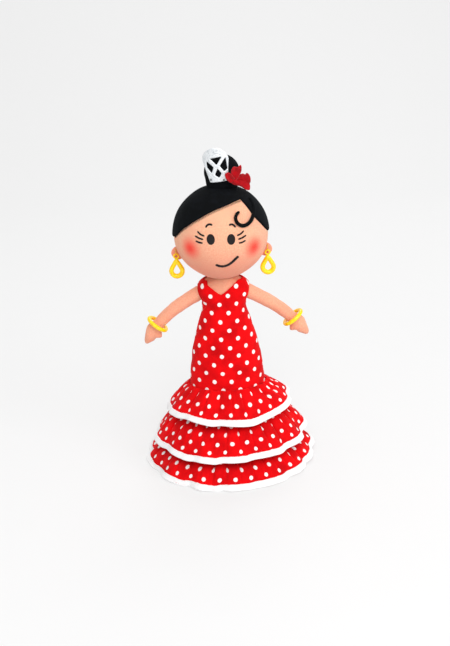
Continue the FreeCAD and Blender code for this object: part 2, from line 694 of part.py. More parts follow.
def make_earring(side, sign):
    """The thread loop and the moulded drop hoop with its eyelet."""
    keep(thread_loop(f"earring_thread_{side}", sign, "sizes.loop_cord"),
         f"earring_thread_{side}")
    across, loop_height = on_side("loop", "sizes.loop_clear")
    across = f"{sign} * {across}"
    front = LOOP_FRONT
    hang = f"({loop_height} - sizes.loop_radius)"
    play = "(sizes.eyelet_radius - sizes.eyelet_cord - sizes.loop_cord - sizes.cloth_gap)"
    eye_height = f"({hang} - {play})"
    face_on = Rotation(Vector(1, 0, 0), 90)
    eyelet = add("Part::Torus", f"eyelet_{side}", (across, front, eye_height), face_on,
                 Radius1="sizes.eyelet_radius", Radius2="sizes.eyelet_cord")
    point = f"({eye_height} - sizes.eyelet_radius - sizes.hoop_cord + sizes.eyelet_cord / 2)"
    pieces = [eyelet, *drop_hoop(side, across, front, point)]
    solid = fuse(f"hoop_{side}", *pieces)
    hole = fore_and_aft(f"eyelet_hole_{side}", "sizes.eyelet_radius - sizes.eyelet_cord",
                        across, f"{front} - 5", eye_height, "10")
    keep(cut(f"earring_{side}", solid, hole), f"earring_{side}")


def drop_hoop(side, across, front, point):
    """The pieces of a teardrop ring below its point: two legs and a round end."""
    radius, reach = size("hoop_radius"), size("hoop_reach")
    lean = math.degrees(math.asin(radius / reach))
    leg = "sqrt(sizes.hoop_reach * sizes.hoop_reach - sizes.hoop_radius * sizes.hoop_radius)"
    made = [add("Part::Sphere", f"hoop_point_{side}", (across, front, point),
                Radius="sizes.hoop_cord")]
    for number, way in enumerate((1, -1)):
        turn = Rotation(Vector(0, 1, 0), 180 + way * lean)
        made.append(add("Part::Cylinder", f"hoop_leg_{side}_{number}",
                        (across, front, point), turn, Radius="sizes.hoop_cord", Height=leg))
    bend = Rotation(Vector(1, 0, 0), 90).multiply(Rotation(Vector(0, 0, 1), 180 - lean))
    made.append(add("Part::Torus", f"hoop_end_{side}",
                    (across, front, f"{point} - sizes.hoop_reach"), bend,
                    Radius1="sizes.hoop_radius", Radius2="sizes.hoop_cord",
                    Angle3=f"{180 + 2 * lean}"))
    return made


def arm_solid(name, sign, inset):
    """An arm with its mitten hand, moved inwards by an expression."""
    turn = arm_turn(sign, size("arm_droop"))
    outward = turn.multVec(Vector(0, 0, 1))
    at = (f"{sign} * sizes.pivot_out", "0", "sizes.pivot_height")
    root = add("Part::Sphere", f"{name}_root", at, Radius=f"sizes.arm_radius - {inset}")
    limb = add("Part::Cone", f"{name}_limb", at, turn, Radius1=f"sizes.arm_radius - {inset}",
               Radius2=f"sizes.wrist_radius - {inset}", Height="sizes.hand_reach")
    hand_at = (f"{at[0]} + sizes.hand_reach * {outward.x}", "0",
               f"{at[2]} + sizes.hand_reach * {outward.z}")
    hand = add("Part::Ellipsoid", f"{name}_hand", hand_at, turn,
               Radius1=f"sizes.hand_long - {inset}", Radius2=f"sizes.hand_wide - {inset}",
               Radius3=f"sizes.hand_thick - {inset}")
    return fuse(name, root, limb, hand)


def make_arm(side, sign):
    """One arm: knot of thread, wire, filling and knit cover, and its bangle."""
    turn = arm_turn(sign, size("arm_droop"))
    outward = turn.multVec(Vector(0, 0, 1))
    at = (f"{sign} * sizes.pivot_out", "0", "sizes.pivot_height")

    def along(distance):
        return (f"{at[0]} + ({distance}) * {outward.x}", "0",
                f"{at[2]} + ({distance}) * {outward.z}")

    knot = add("Part::Sphere", f"knot_{side}", at, Radius="sizes.knot_radius")
    keep(knot, f"shoulder_knot_{side}")
    wire_start = "(sizes.knot_radius + 2)"
    wire = add("Part::Cylinder", f"wire_{side}", along(wire_start), turn,
               Radius="sizes.wire_radius", Height=f"sizes.hand_reach - {wire_start}")
    keep(wire, f"arm_wire_{side}")
    stuffed = arm_solid(f"arm_inside_{side}", sign, "sizes.knit_wall")
    knot_room = add("Part::Sphere", f"knot_room_{side}", at,
                    Radius="sizes.knot_radius + sizes.joint_gap")
    keep(cut(f"arm_stuffing_{side}", stuffed, knot_room, wire), f"arm_filling_{side}")
    keep(cut(f"arm_knit_{side}", arm_solid(f"arm_outside_{side}", sign, "0"), stuffed),
         f"arm_cover_{side}")
    tilt = Rotation(Vector(0, 1, 0), sign * size("bangle_tilt"))
    bangle = add("Part::Torus", f"ring_{side}", along("sizes.wrist_reach"),
                 tilt.multiply(turn), Radius1="sizes.bangle_radius",
                 Radius2="sizes.bangle_cord")
    keep(bangle, f"bangle_{side}")


def check_and_export():
    """Stops if anything failed to build, then writes one STEP file for each sub-part."""
    doc.recompute()
    failed = [o.Name for o in doc.Objects if "Invalid" in o.State or "Error" in o.State]
    if failed:
        raise RuntimeError(f"these objects failed to build: {failed}")
    os.makedirs("parts", exist_ok=True)
    for made in parts:
        shape = made.Shape
        if shape.isNull() or not shape.isValid() or shape.Volume <= 0:
            raise RuntimeError(f"{made.Label} has no valid shape")
    for made in parts:
        made.Shape.exportStep(os.path.join("parts", f"{made.Label}.step"))
    print(f"{len(parts)} sub-parts written")


fill_sheet()
make_base()
make_dowel()
make_torso()
make_dress()
make_underskirt()
for tier_name in ("top", "middle", "bottom"):
    make_ruffle(tier_name)
make_head()
make_bun()
make_comb()
make_flower()
make_curl()
make_ears()
for side_name, side_sign in SIDES:
    make_earring(side_name, side_sign)
    make_arm(side_name, side_sign)
check_and_export()
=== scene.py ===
"""The looks of a stuffed flamenco doll, built round its fixed frame.

Lengths are in millimetres in the doll's frame (+Z up, facing -Y) and become metres in add_mesh.
"""

import json
import math

import bmesh
import bpy
import numpy as np
from mathutils import Matrix, Vector


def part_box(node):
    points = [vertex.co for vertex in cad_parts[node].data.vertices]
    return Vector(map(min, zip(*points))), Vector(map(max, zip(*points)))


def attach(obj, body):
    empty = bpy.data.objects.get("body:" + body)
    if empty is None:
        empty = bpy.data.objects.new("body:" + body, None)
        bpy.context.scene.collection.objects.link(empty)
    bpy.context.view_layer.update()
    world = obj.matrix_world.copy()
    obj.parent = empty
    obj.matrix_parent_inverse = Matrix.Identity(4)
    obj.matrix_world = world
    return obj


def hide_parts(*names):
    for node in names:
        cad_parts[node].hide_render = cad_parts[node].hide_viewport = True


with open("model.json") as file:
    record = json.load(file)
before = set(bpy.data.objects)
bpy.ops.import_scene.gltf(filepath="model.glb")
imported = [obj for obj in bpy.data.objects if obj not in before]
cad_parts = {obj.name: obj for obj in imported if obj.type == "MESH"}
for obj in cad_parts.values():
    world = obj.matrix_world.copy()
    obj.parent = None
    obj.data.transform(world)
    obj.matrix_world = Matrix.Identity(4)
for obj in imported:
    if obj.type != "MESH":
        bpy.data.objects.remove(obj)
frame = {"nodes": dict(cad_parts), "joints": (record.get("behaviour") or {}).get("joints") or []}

MM = 0.001
FULL = 2 * math.pi
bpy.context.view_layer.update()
SIDES = (("left", 1), ("right", -1))


def node_box(node):
    """A frame node's lowest and highest corners, in millimetres."""
    low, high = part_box(node)
    return np.array(low) / MM, np.array(high) / MM


def node_middle(node):
    low, high = node_box(node)
    return (low + high) / 2


def joint_place(name):
    joint = next(j for j in frame["joints"] if j["name"] == name)
    return np.array(joint["pos_m"]) / MM


# ---------------------------------------------------------------- finishes


class Wire:
    """A shader socket that arithmetic on it turns into Math nodes."""

    def __init__(self, finish, socket):
        self.finish = finish
        self.socket = socket

    def maths(self, operation, *others):
        numbers = dict(enumerate((self, *others)))
        return self.finish.add("Math", {"operation": operation}, numbers)

    def reflected(self, operation, first):
        return self.finish.add("Math", {"operation": operation}, {0: first, 1: self})

    def __add__(self, other):
        return self.maths("ADD", other)

    def __mul__(self, other):
        return self.maths("MULTIPLY", other)

    def __sub__(self, other):
        return self.maths("SUBTRACT", other)

    def __truediv__(self, other):
        return self.maths("DIVIDE", other)

    def __pow__(self, other):
        return self.maths("POWER", other)

    def __rsub__(self, other):
        return self.reflected("SUBTRACT", other)

    __radd__ = __add__
    __rmul__ = __mul__


class Finish:
    """A material on a Principled shader, whose uniform values are given by name."""

    def __init__(self, name, **fixed):
        self.material = bpy.data.materials.new(name)
        self.material.use_nodes = True
        self.tree = self.material.node_tree
        self.shader = self.tree.nodes["Principled BSDF"]
        for socket, value in fixed.items():
            self.shader.inputs[socket.replace("_", " ")].default_value = value

    def add(self, kind, settings=None, inputs=None, output=0):
        """A node of that kind, with its settings set first and then its sockets fed."""
        node = self.tree.nodes.new(f"ShaderNode{kind}")
        for name, value in (settings or {}).items():
            setattr(node, name, value)
        for key, value in (inputs or {}).items():
            self.feed(node.inputs[key], value)
        return Wire(self, node.outputs[output])

    def feed(self, socket, value):
        if isinstance(value, Wire):
            self.tree.links.new(value.socket, socket)
        else:
            socket.default_value = value

    def out(self, **links):
        """Feeds the shader's varying sockets and returns the finished material."""
        for socket, value in links.items():
            self.feed(self.shader.inputs[socket.replace("_", " ")], value)
        return self.material

    def place(self):
        """Object coordinates in millimetres."""
        at = self.add("TexCoord", output=3)
        return self.vector("SCALE", at, Scale=1 / MM)

    def cloth(self):
        """The piece's own cloth map, in millimetres along the weft and the warp."""
        at = self.add("UVMap", {"uv_map": CLOTH_MAP})
        return self.vector("SCALE", at, Scale=CLOTH_UNIT)

    def vector(self, operation, first, second=None, output=0, **named):
        inputs = {0: first, **named}
        if second is not None:
            inputs[1] = second
        return self.add("VectorMath", {"operation": operation}, inputs, output)

    def split(self, vector):
        return [self.add("SeparateXYZ", None, {0: vector}, axis) for axis in range(3)]

    def noise(self, vector, size, detail=2.0, roughness=0.5):
        """Smooth noise from 0 to 1, with features of about size millimetres."""
        inputs = {"Vector": vector, "Scale": 1 / size, "Detail": detail, "Roughness": roughness}
        return self.add("TexNoise", None, inputs)

    def ramp(self, value, low, high, start=0.0, end=1.0):
        """start where value is low, end where it is high, and smooth between."""
        settings = {"interpolation_type": "SMOOTHSTEP", "clamp": True}
        return self.add("MapRange", settings, {0: value, 1: low, 2: high, 3: start, 4: end})

    def mix(self, share, first, second):
        """A colour between two colours."""
        settings = {"data_type": "RGBA", "clamp_factor": True}
        return self.add("Mix", settings, {0: share, 6: first, 7: second}, 2)

    def wave(self, value, length):
        """A sine from -1 to 1 over a value in millimetres."""
        return (value * (FULL / length)).maths("SINE")

    def bump(self, height, depth):
        """Relief of that depth in millimetres, as a normal."""
        inputs = {"Strength": 1.0, "Distance": depth * MM, "Height": height}
        return self.add("Bump", None, inputs)


CLOTH_MAP = "cloth"
CLOTH_UNIT = 100.0  # millimetres in one unit of the cloth map

BLACK = (0.004, 0.0045, 0.005, 1)
RED = (0.82, 0.0012, 0.0035, 1)
DEEP_RED = (0.52, 0.0006, 0.0025, 1)
WHITE = (0.90, 0.88, 0.87, 1)
SKIN_LIGHT = (1.0, 0.62, 0.39, 1)
SKIN_DEEP = (0.90, 0.36, 0.235, 1)
SKIN_ROSY = (0.93, 0.33, 0.225, 1)
BLUSH = (1.0, 0.055, 0.035, 1)


def plain_weave(finish, cloth, thread):
    """The relief of a plain weave: two crossing sets of threads, over and under."""
    across, along, _ = finish.split(cloth)
    warp = finish.wave(across, thread)
    weft = finish.wave(along, thread)
    checks = finish.wave(across, 2 * thread) * finish.wave(along, 2 * thread)
    return (warp * checks + weft * (0 - checks)) * 0.5 + 0.5


def dots_on(finish, cloth, anchor, edge):
    """A mask of round dots on a diagonal lattice, 1 inside a dot."""
    across, along, _ = finish.split(cloth)
    rows = ((0, 0), (DOT_PITCH / 2, DOT_ROW))
    masks = []
    for shift, rise in rows:
        near = []
        for value, start, pitch in ((across, anchor[0] + shift, DOT_PITCH),
                                    (along, anchor[1] + rise, 2 * DOT_ROW)):
            cell = ((value - start) / pitch + 0.5).maths("FRACT") - 0.5
            near.append(cell * pitch)
        away = (near[0] * near[0] + near[1] * near[1]).maths("SQRT")
        masks.append(finish.ramp(away + edge, DOT_RADIUS - 0.18, DOT_RADIUS + 0.18, 1, 0))
    return masks[0].maths("MAXIMUM", masks[1])


DOT_PITCH = 13.4
DOT_ROW = 6.82
DOT_RADIUS = 1.62


def dotted_cotton(name, anchor):
    """Red printed cotton with white dots, on the cloth map."""
    finish = Finish(name, Sheen_Weight=0.04, Sheen_Roughness=0.4, Specular_IOR_Level=0.10)
    cloth = finish.cloth()
    fleck = finish.noise(cloth, 0.8, 3)
    dots = dots_on(finish, cloth, anchor, (fleck - 0.5) * 0.55)
    fade = finish.noise(cloth, 14, 3)
    red = finish.mix(finish.ramp(fade, 0.3, 0.75), RED, DEEP_RED)
    red = finish.mix((fleck - 0.35) * 0.35, red, (0.95, 0.008, 0.012, 1))
    weave = plain_weave(finish, cloth, 0.42)
    white = finish.mix(weave * 0.12, WHITE, (0.86, 0.62, 0.6, 1))
    relief = weave * 0.6 + finish.noise(cloth, 3.5, 2) * 1.2 + dots * 0.15
    return finish.out(
        Base_Color=finish.mix(dots, red, white),
        Roughness=0.92 - dots * 0.2 - fleck * 0.08,
        Normal=finish.bump(relief, 0.09),
    )


def plain_cotton():
    """The unprinted red lining cotton of the underskirt."""
    finish = Finish("red_lining_cotton", Sheen_Weight=0.2, Specular_IOR_Level=0.2)
    cloth = finish.cloth()
    weave = plain_weave(finish, cloth, 0.5)
    shade = finish.noise(cloth, 9, 3)
    return finish.out(
        Base_Color=finish.mix(shade, RED, DEEP_RED),
        Roughness=0.95 - weave * 0.1,
        Normal=finish.bump(weave + shade, 0.08),
    )


def knit_relief(finish, cloth, stitch):
    """The relief of a stocking-stitch jersey: columns of small V shapes."""
    across, along, _ = finish.split(cloth)
    column = (across / stitch).maths("FRACT") - 0.5
    slope = column.maths("ABSOLUTE") * stitch * 1.3
    courses = finish.wave(along + slope, stitch * 0.8) * 0.5 + 0.5
    ribs = 1 - (column.maths("ABSOLUTE") * 2) ** 2.5
    return courses * ribs


KNIT_STITCH = 0.62


def skin_knit(name, blushes=(), rosy_tint_and_shade=(0.40, 0.40), fall=(0, 1)):
    """Brushed skin jersey with round blushes.

    The two rosy shares hold at the lower and at the upper of the two heights in fall. Where the
    lower share is larger, that is painted shade: the skin is darker and rosier lower down.
    """
    finish = Finish(name, Sheen_Weight=0.15, Sheen_Roughness=0.45, Specular_IOR_Level=0.1,
                    Subsurface_Weight=0.12, Subsurface_Scale=0.002)
    cloth = finish.cloth()
    at = finish.place()
    knit = knit_relief(finish, cloth, KNIT_STITCH)
    heather = finish.noise(cloth, 1.1, 4, 0.7)
    patches = finish.noise(at, 17, 2)
    colour = finish.mix(finish.ramp(heather, 0.32, 0.72), SKIN_LIGHT, SKIN_DEEP)
    colour = finish.mix(finish.ramp(patches, 0.35, 0.8) * 0.35, colour, SKIN_DEEP)
    # painted light and shade: with a larger share below, the skin is coloured darker and rosier lower
    # down and lighter above
    above = finish.ramp(finish.split(at)[2], *fall)
    colour = finish.mix(rosy_tint_and_shade[0] + (rosy_tint_and_shade[1] - rosy_tint_and_shade[0]) * above, colour, SKIN_ROSY)
    # painted shade: the grooves of the knit relief between stitches are coloured a darker orange
    colour = finish.mix((1 - knit) * 0.16, colour, (0.72, 0.26, 0.15, 1))
    for middle, reach in blushes:
        away = finish.vector("DISTANCE", at, tuple(middle), output=1)
        spot = (1 - finish.ramp(away + (heather - 0.5) * 1.2, 0, reach)) ** 1.15
        colour = finish.mix(spot * 0.97, colour, BLUSH)
    fuzz = finish.noise(cloth, 0.35, 2)
    return finish.out(
        Base_Color=colour,
        Roughness=0.95 - heather * 0.12,
        Normal=finish.bump(knit + fuzz * 0.5 + patches * 0.6, 0.10),
    )


def velour():
    """Short black pile, brushed lighter and darker in patches."""
    finish = Finish("black_hair_velour", Sheen_Weight=0.04, Sheen_Roughness=0.3,
                    Sheen_Tint=(0.35, 0.42, 0.5, 1), Specular_IOR_Level=0.05)
    at = finish.place()
    brushed = finish.noise(at, 6, 4, 0.65)
    pile = finish.noise(at, 0.32, 3, 0.7)
    colour = finish.mix(finish.ramp(brushed, 0.4, 0.75) * 0.8 + pile * 0.2, BLACK,
                        (0.006, 0.007, 0.009, 1))
    return finish.out(
        Base_Color=colour,
        Roughness=0.8 + pile * 0.2,
        Normal=finish.bump(pile + brushed * 2, 0.22),
    )


def felt(name, light, deep, sheen=0.4):
    """Pressed wool felt: matted fibres in every direction."""
    finish = Finish(name, Sheen_Weight=sheen, Sheen_Roughness=0.5, Specular_IOR_Level=0.2)
    at = finish.place()
    fibres = finish.noise(at, 0.45, 5, 0.75)
    tangle = finish.add("TexVoronoi", {"feature": "DISTANCE_TO_EDGE"},
                        {"Vector": finish.vector("ADD", at, finish.noise(at, 0.8, 2)),
                         "Scale": 1 / 0.9})
    shade = finish.noise(at, 4, 3)
    share = finish.ramp(fibres, 0.3, 0.7) * 0.6 + finish.ramp(shade, 0.35, 0.7) * 0.5
    return finish.out(
        Base_Color=finish.mix(share, light, deep),
        Roughness=0.9 + fibres * 0.1,
        Normal=finish.bump(fibres * 1.4 + tangle * 0.5, 0.16),
    )


def ribbon():
    """White grosgrain ribbon, finely ribbed across its width."""
    finish = Finish("white_ribbon", Sheen_Weight=0.2, Specular_IOR_Level=0.35)
    across, along, _ = finish.split(finish.cloth())
    ribs = finish.wave(across, 0.55) * 0.5 + 0.5
    edge = finish.noise(finish.cloth(), 5, 3)
    colour = finish.mix(ribs * 0.10 + finish.ramp(edge, 0.45, 0.8) * 0.22,
                        (0.93, 0.93, 0.93, 1), (0.80, 0.72, 0.73, 1))
    return finish.out(
        Base_Color=colour,
        Roughness=0.62 + ribs * 0.2,
        Normal=finish.bump(ribs + edge * 1.5 + finish.wave(along, 0.3) * 0.15, 0.07),
    )


def thread(name, light, deep, pitch=0.42):
    """Twisted embroidery thread laid side by side, along the piece's cloth map."""
    finish = Finish(name, Sheen_Weight=0.05, Specular_IOR_Level=0.2)
    across, along, _ = finish.split(finish.cloth())
    laid = finish.wave(across + along * 0.25, pitch) * 0.5 + 0.5
    wander = finish.noise(finish.place(), 0.9, 3)
    return finish.out(
        # painted light and shade: threads are coloured lighter on their crests and deeper in the
        # grooves between them, plus random tone from wander
        Base_Color=finish.mix(laid * 0.6 + wander * 0.3, deep, light),
        Roughness=0.75 - laid * 0.25,
        Normal=finish.bump(laid + wander, 0.10),
    )


def moulded_plastic(name, light, deep, roughness):
    """Gloss injection-moulded plastic, clouded, with a fine orange peel."""
    finish = Finish(name, Coat_Weight=0.35, Coat_Roughness=0.2, Specular_IOR_Level=0.35,
                    Subsurface_Weight=0.2, Subsurface_Scale=0.0015)
    at = finish.place()
    cloud = finish.noise(at, 5.0, 3)
    peel = finish.noise(at, 1.1, 2)
    scuffs = finish.noise(at, 0.5, 5, 0.8)
    return finish.out(
        Base_Color=finish.mix(finish.ramp(cloud, 0.3, 0.7), light, deep),
        Roughness=roughness + finish.ramp(scuffs, 0.55, 0.8) * 0.18,
        Normal=finish.bump(peel + scuffs * 0.15, 0.05),
    )


def silvered_comb():
    """Pale silvered plastic, mottled grey where the coat is thin."""
    finish = Finish("silvered_comb", Specular_IOR_Level=0.5)
    at = finish.place()
    mottle = finish.noise(at, 1.4, 5, 0.7)
    cloud = finish.noise(at, 5, 2)
    colour = finish.mix(finish.ramp(mottle, 0.42, 0.72) * 0.7, (0.84, 0.87, 0.89, 1),
                        (0.42, 0.46, 0.49, 1))
    colour = finish.mix(finish.ramp(cloud, 0.5, 0.8) * 0.4, colour, (0.93, 0.93, 0.93, 1))
    return finish.out(
        Base_Color=colour,
        Metallic=0.15 + finish.ramp(mottle, 0.4, 0.7) * 0.25,
        Roughness=0.34 + mottle * 0.25,
        Normal=finish.bump(mottle, 0.10),
    )


def card():
    """Grey-brown pulp board with flecks."""
    finish = Finish("base_card", Specular_IOR_Level=0.2)
    at = finish.place()
    flecks = finish.noise(at, 0.7, 5, 0.8)
    colour = finish.mix(finish.ramp(flecks, 0.45, 0.65), (0.42, 0.33, 0.23, 1),
                        (0.25, 0.18, 0.12, 1))
    return finish.out(Base_Color=colour, Roughness=0.85 + flecks * 0.15,
                      Normal=finish.bump(flecks, 0.08))


def turned_wood():
    """Pale birch with the grain along Z."""
    finish = Finish("birch_dowel", Specular_IOR_Level=0.3)
    at = finish.vector("MULTIPLY", finish.place(), (1.0, 1.0, 0.06))
    grain = finish.noise(at, 0.8, 4, 0.6)
    return finish.out(
        Base_Color=finish.mix(finish.ramp(grain, 0.35, 0.65), (0.72, 0.53, 0.33, 1),
                              (0.52, 0.34, 0.19, 1)),
        Roughness=0.5 + grain * 0.25,
        Normal=finish.bump(grain, 0.05),
    )


def drawn_wire():
    """Galvanised wire with drawing lines."""
    finish = Finish("galvanised_wire", Specular_IOR_Level=0.5)
    at = finish.place()
    lines = finish.noise(at, 0.3, 3)
    return finish.out(
        Base_Color=finish.mix(lines, (0.55, 0.56, 0.58, 1), (0.36, 0.37, 0.39, 1)),
        Metallic=0.9 + lines * 0.1,
        Roughness=0.3 + lines * 0.2,
        Normal=finish.bump(lines, 0.02),
    )


# ---------------------------------------------------------------- meshes


def add_mesh(name, shape, material):
    """A smooth mesh object from points in millimetres, faces, and a cloth-map point a corner."""
    points, faces, cloth = shape
    mesh = bpy.data.meshes.new(name)
    mesh.from_pydata((np.asarray(points, float) * MM).tolist(), [], [list(f) for f in faces])
    layer = mesh.uv_layers.new(name=CLOTH_MAP)
    layer.data.foreach_set("uv", (np.asarray(cloth, float) / CLOTH_UNIT).ravel())
    mesh.materials.append(material)
    piece = bpy.data.objects.new(name, mesh)
    bpy.context.scene.collection.objects.link(piece)
    mesh.shade_smooth()
    return piece


def grid(points, cloth, wrap=False, flip=False):
    """Points, faces and cloth map of a grid of rows; wrap joins each row into a ring.

    points has shape (rows, columns, 3) and cloth (rows, columns + wrap, 2).
    """
    rows, columns = points.shape[:2]
    faces, corners = [], []
    for row in range(rows - 1):
        for column in range(columns if wrap else columns - 1):
            after = (column + 1) % columns
            face = [row * columns + column, row * columns + after,
                    (row + 1) * columns + after, (row + 1) * columns + column]
            corner = [cloth[row, column], cloth[row, column + 1],
                      cloth[row + 1, column + 1], cloth[row + 1, column]]
            faces.append(face[::-1] if flip else face)
            corners.extend(corner[::-1] if flip else corner)
    return points.reshape(-1, 3), faces, np.array(corners)


def trimmed(points, faces, cloth, excess):
    """The part of a mesh where excess is negative, with its edge moved onto zero."""
    cloth = np.asarray(cloth).reshape(-1, 2)
    kept, start = [], 0
    neighbours = {}
    for face in faces:
        if min(excess[v] for v in face) < 0:
            kept.append(list(zip(face, cloth[start:start + len(face)])))
            for one, two in zip(face, (*face[1:], face[0])):
                neighbours.setdefault(one, []).append(two)
                neighbours.setdefault(two, []).append(one)
        start += len(face)
    moved = np.array(points, float)
    loose = set()
    for vertex, others in neighbours.items():
        if excess[vertex] < 0:
            continue
        inside = [v for v in others if excess[v] < 0]
        if not inside:
            loose.add(vertex)
            continue
        best = min(inside, key=lambda v: excess[v])
        share = excess[best] / (excess[best] - excess[vertex])
        moved[vertex] = points[best] + share * (points[vertex] - points[best])
    kept = [[corner for corner in face if corner[0] not in loose] for face in kept]
    corners = np.array([place for face in kept for _, place in face])
    used = sorted(set(neighbours) - loose)
    number = {old: new for new, old in enumerate(used)}
    sound = [[number[v] for v, _ in face] for face in kept]
    return moved[used], sound, corners, np.asarray(excess)[used]


def smooth_curve(stations, at):
    """A smooth curve through (place, value) stations, read at places."""
    place, value = np.array(stations, float).T
    slope = np.gradient(value, place)
    index = np.clip(np.searchsorted(place, at) - 1, 0, len(place) - 2)
    step = place[index + 1] - place[index]
    t = np.clip((at - place[index]) / step, 0, 1)
    return ((2 * t**3 - 3 * t**2 + 1) * value[index] + (t**3 - 2 * t**2 + t) * step * slope[index]
            + (3 * t**2 - 2 * t**3) * value[index + 1] + (t**3 - t**2) * step * slope[index + 1])


def settle(piece):
    """Turns a piece's modifiers into its plain mesh."""
    shape = piece.evaluated_get(bpy.context.evaluated_depsgraph_get())
    mesh = bpy.data.meshes.new_from_object(shape)
    piece.modifiers.clear()
    piece.data = mesh
    return piece


def modify(piece, kind, **settings):
    modifier = piece.modifiers.new(kind.lower(), kind)
    for name, value in settings.items():
        setattr(modifier, name, value)
    return modifier


def thicken(piece, wall, offset=-1.0):
    modify(piece, "SOLIDIFY", thickness=wall * MM, offset=offset, use_even_offset=False)
    return piece


def closed(piece):
    """Merges a closed mesh's doubles and turns its faces outwards."""
    mesh = bmesh.new()
    mesh.from_mesh(piece.data)
    bmesh.ops.remove_doubles(mesh, verts=mesh.verts, dist=1e-7)
    bmesh.ops.recalc_face_normals(mesh, faces=mesh.faces)
    mesh.to_mesh(piece.data)
    mesh.free()
    return piece


def sweep(path, wide, tall, up, looped=False, sides=12):
    """A tube along a path; wide and tall are half sizes, and up says which way tall goes."""
    path = np.asarray(path, float)
    count = len(path)
    if looped:
        along = np.roll(path, -1, 0) - np.roll(path, 1, 0)
    else:
        along = np.gradient(path, axis=0)
    along /= np.linalg.norm(along, axis=1, keepdims=True)
    up = np.broadcast_to(np.asarray(up, float), path.shape)
    across = np.cross(along, up)
    across /= np.linalg.norm(across, axis=1, keepdims=True)
    up = np.cross(across, along)
    angle = np.linspace(0, FULL, sides, endpoint=False)
    wide = np.broadcast_to(wide, count)[:, None, None]
    tall = np.broadcast_to(tall, count)[:, None, None]
    ring = (wide * np.cos(angle)[None, :, None] * across[:, None]
            + tall * np.sin(angle)[None, :, None] * up[:, None])
    points = path[:, None] + ring
    step = np.linalg.norm(np.diff(path, axis=0), axis=1)
    run = np.concatenate([[0], np.cumsum(step)])
    girth = np.linspace(0, FULL * float(np.mean(wide)), sides + 1)
    if looped:
        points = np.concatenate([points, points[:1]])
        run = np.append(run, run[-1] + np.linalg.norm(path[0] - path[-1]))
    cloth = np.stack(np.broadcast_arrays(run[:, None], girth[None, :]), -1)
    points, faces, corners = grid(points, cloth, wrap=True)
    if not looped:
        last = count * sides - sides
        for ring_start in (0, last):
            faces.append(list(range(ring_start, ring_start + sides)))
            corners = np.concatenate([corners, np.zeros((sides, 2))])
    return points, faces, corners


def rounded_ends(count, share):
    """Half sizes from 0 to 1 that round off both ends of a stroke."""
    t = np.linspace(0, 1, count)
    near = np.minimum(np.minimum(t, 1 - t) / share, 1)
    return np.sqrt(np.maximum(1 - (1 - near) ** 2, 0.0004))


def wander(angle, seed, octaves=((1, 0.5), (2, 0.3), (3, 0.2))):
    """A smooth closed wobble over an angle, different for each seed."""
    total = np.zeros_like(angle)
    for number, share in octaves:
        total += share * np.sin(number * angle + 2.399 * seed * number + seed)
    return total


# ---------------------------------------------------------------- seams and fibres


def stitch_tree():
    """Geometry nodes that lay short threads along the edges of a mesh."""
    tree = bpy.data.node_groups.new("stitch_row", "GeometryNodeTree")
    sides = (("Geometry", "NodeSocketGeometry"), ("Spacing", "NodeSocketFloat"),
             ("Length", "NodeSocketFloat"), ("Radius", "NodeSocketFloat"),
             ("Lean", "NodeSocketFloat"), ("Wander", "NodeSocketFloat"),
             ("Seed", "NodeSocketInt"), ("Thread", "NodeSocketMaterial"))
    for name, kind in sides:
        tree.interface.new_socket(name, in_out="INPUT", socket_type=kind)
    tree.interface.new_socket("Geometry", in_out="OUTPUT", socket_type="NodeSocketGeometry")

    def node(kind, settings=None, **inputs):
        made = tree.nodes.new(kind)
        for name, value in (settings or {}).items():
            setattr(made, name, value)
        for name, value in inputs.items():
            socket = made.inputs[name.replace("_", " ")]
            if isinstance(value, bpy.types.NodeSocket):
                tree.links.new(value, socket)
            else:
                socket.default_value = value
        return made

    given = tree.nodes.new("NodeGroupInput").outputs
    line = node("GeometryNodeMeshToCurve", Mesh=given["Geometry"])
    points = node("GeometryNodeCurveToPoints", {"mode": "LENGTH"}, Curve=line.outputs[0],
                  Length=given["Spacing"])
    bead = node("GeometryNodeMeshUVSphere", Segments=8, Rings=6, Radius=1.0)
    low = node("ShaderNodeMath", {"operation": "MULTIPLY"})
    tree.links.new(given["Wander"], low.inputs[0])
    low.inputs[1].default_value = -1.0
    turn = node("FunctionNodeRandomValue", {"data_type": "FLOAT"}, Seed=given["Seed"])
    tree.links.new(low.outputs[0], turn.inputs[2])
    tree.links.new(given["Wander"], turn.inputs[3])
    lean = node("ShaderNodeMath", {"operation": "ADD"})
    tree.links.new(turn.outputs[1], lean.inputs[0])
    tree.links.new(given["Lean"], lean.inputs[1])
    tilt = node("ShaderNodeCombineXYZ", X=lean.outputs[0])
    laid = node("FunctionNodeRotateRotation", {"rotation_space": "LOCAL"},
                Rotation=points.outputs["Rotation"])
    tree.links.new(tilt.outputs[0], laid.inputs[1])
    half = node("ShaderNodeMath", {"operation": "MULTIPLY"})
    tree.links.new(given["Length"], half.inputs[0])
    half.inputs[1].default_value = 0.5
    shape = node("ShaderNodeCombineXYZ", X=given["Radius"], Y=given["Radius"],
                 Z=half.outputs[0])
    laid_out = node("GeometryNodeInstanceOnPoints", Points=points.outputs["Points"],
                    Instance=bead.outputs["Mesh"], Rotation=laid.outputs[0],
                    Scale=shape.outputs[0])
    real = node("GeometryNodeRealizeInstances", Geometry=laid_out.outputs[0])
    soft = node("GeometryNodeSetShadeSmooth", Geometry=real.outputs[0])
    dyed = node("GeometryNodeSetMaterial", Geometry=soft.outputs[0], Material=given["Thread"])
    result = tree.nodes.new("NodeGroupOutput")
    tree.links.new(dyed.outputs[0], result.inputs[0])
    return tree


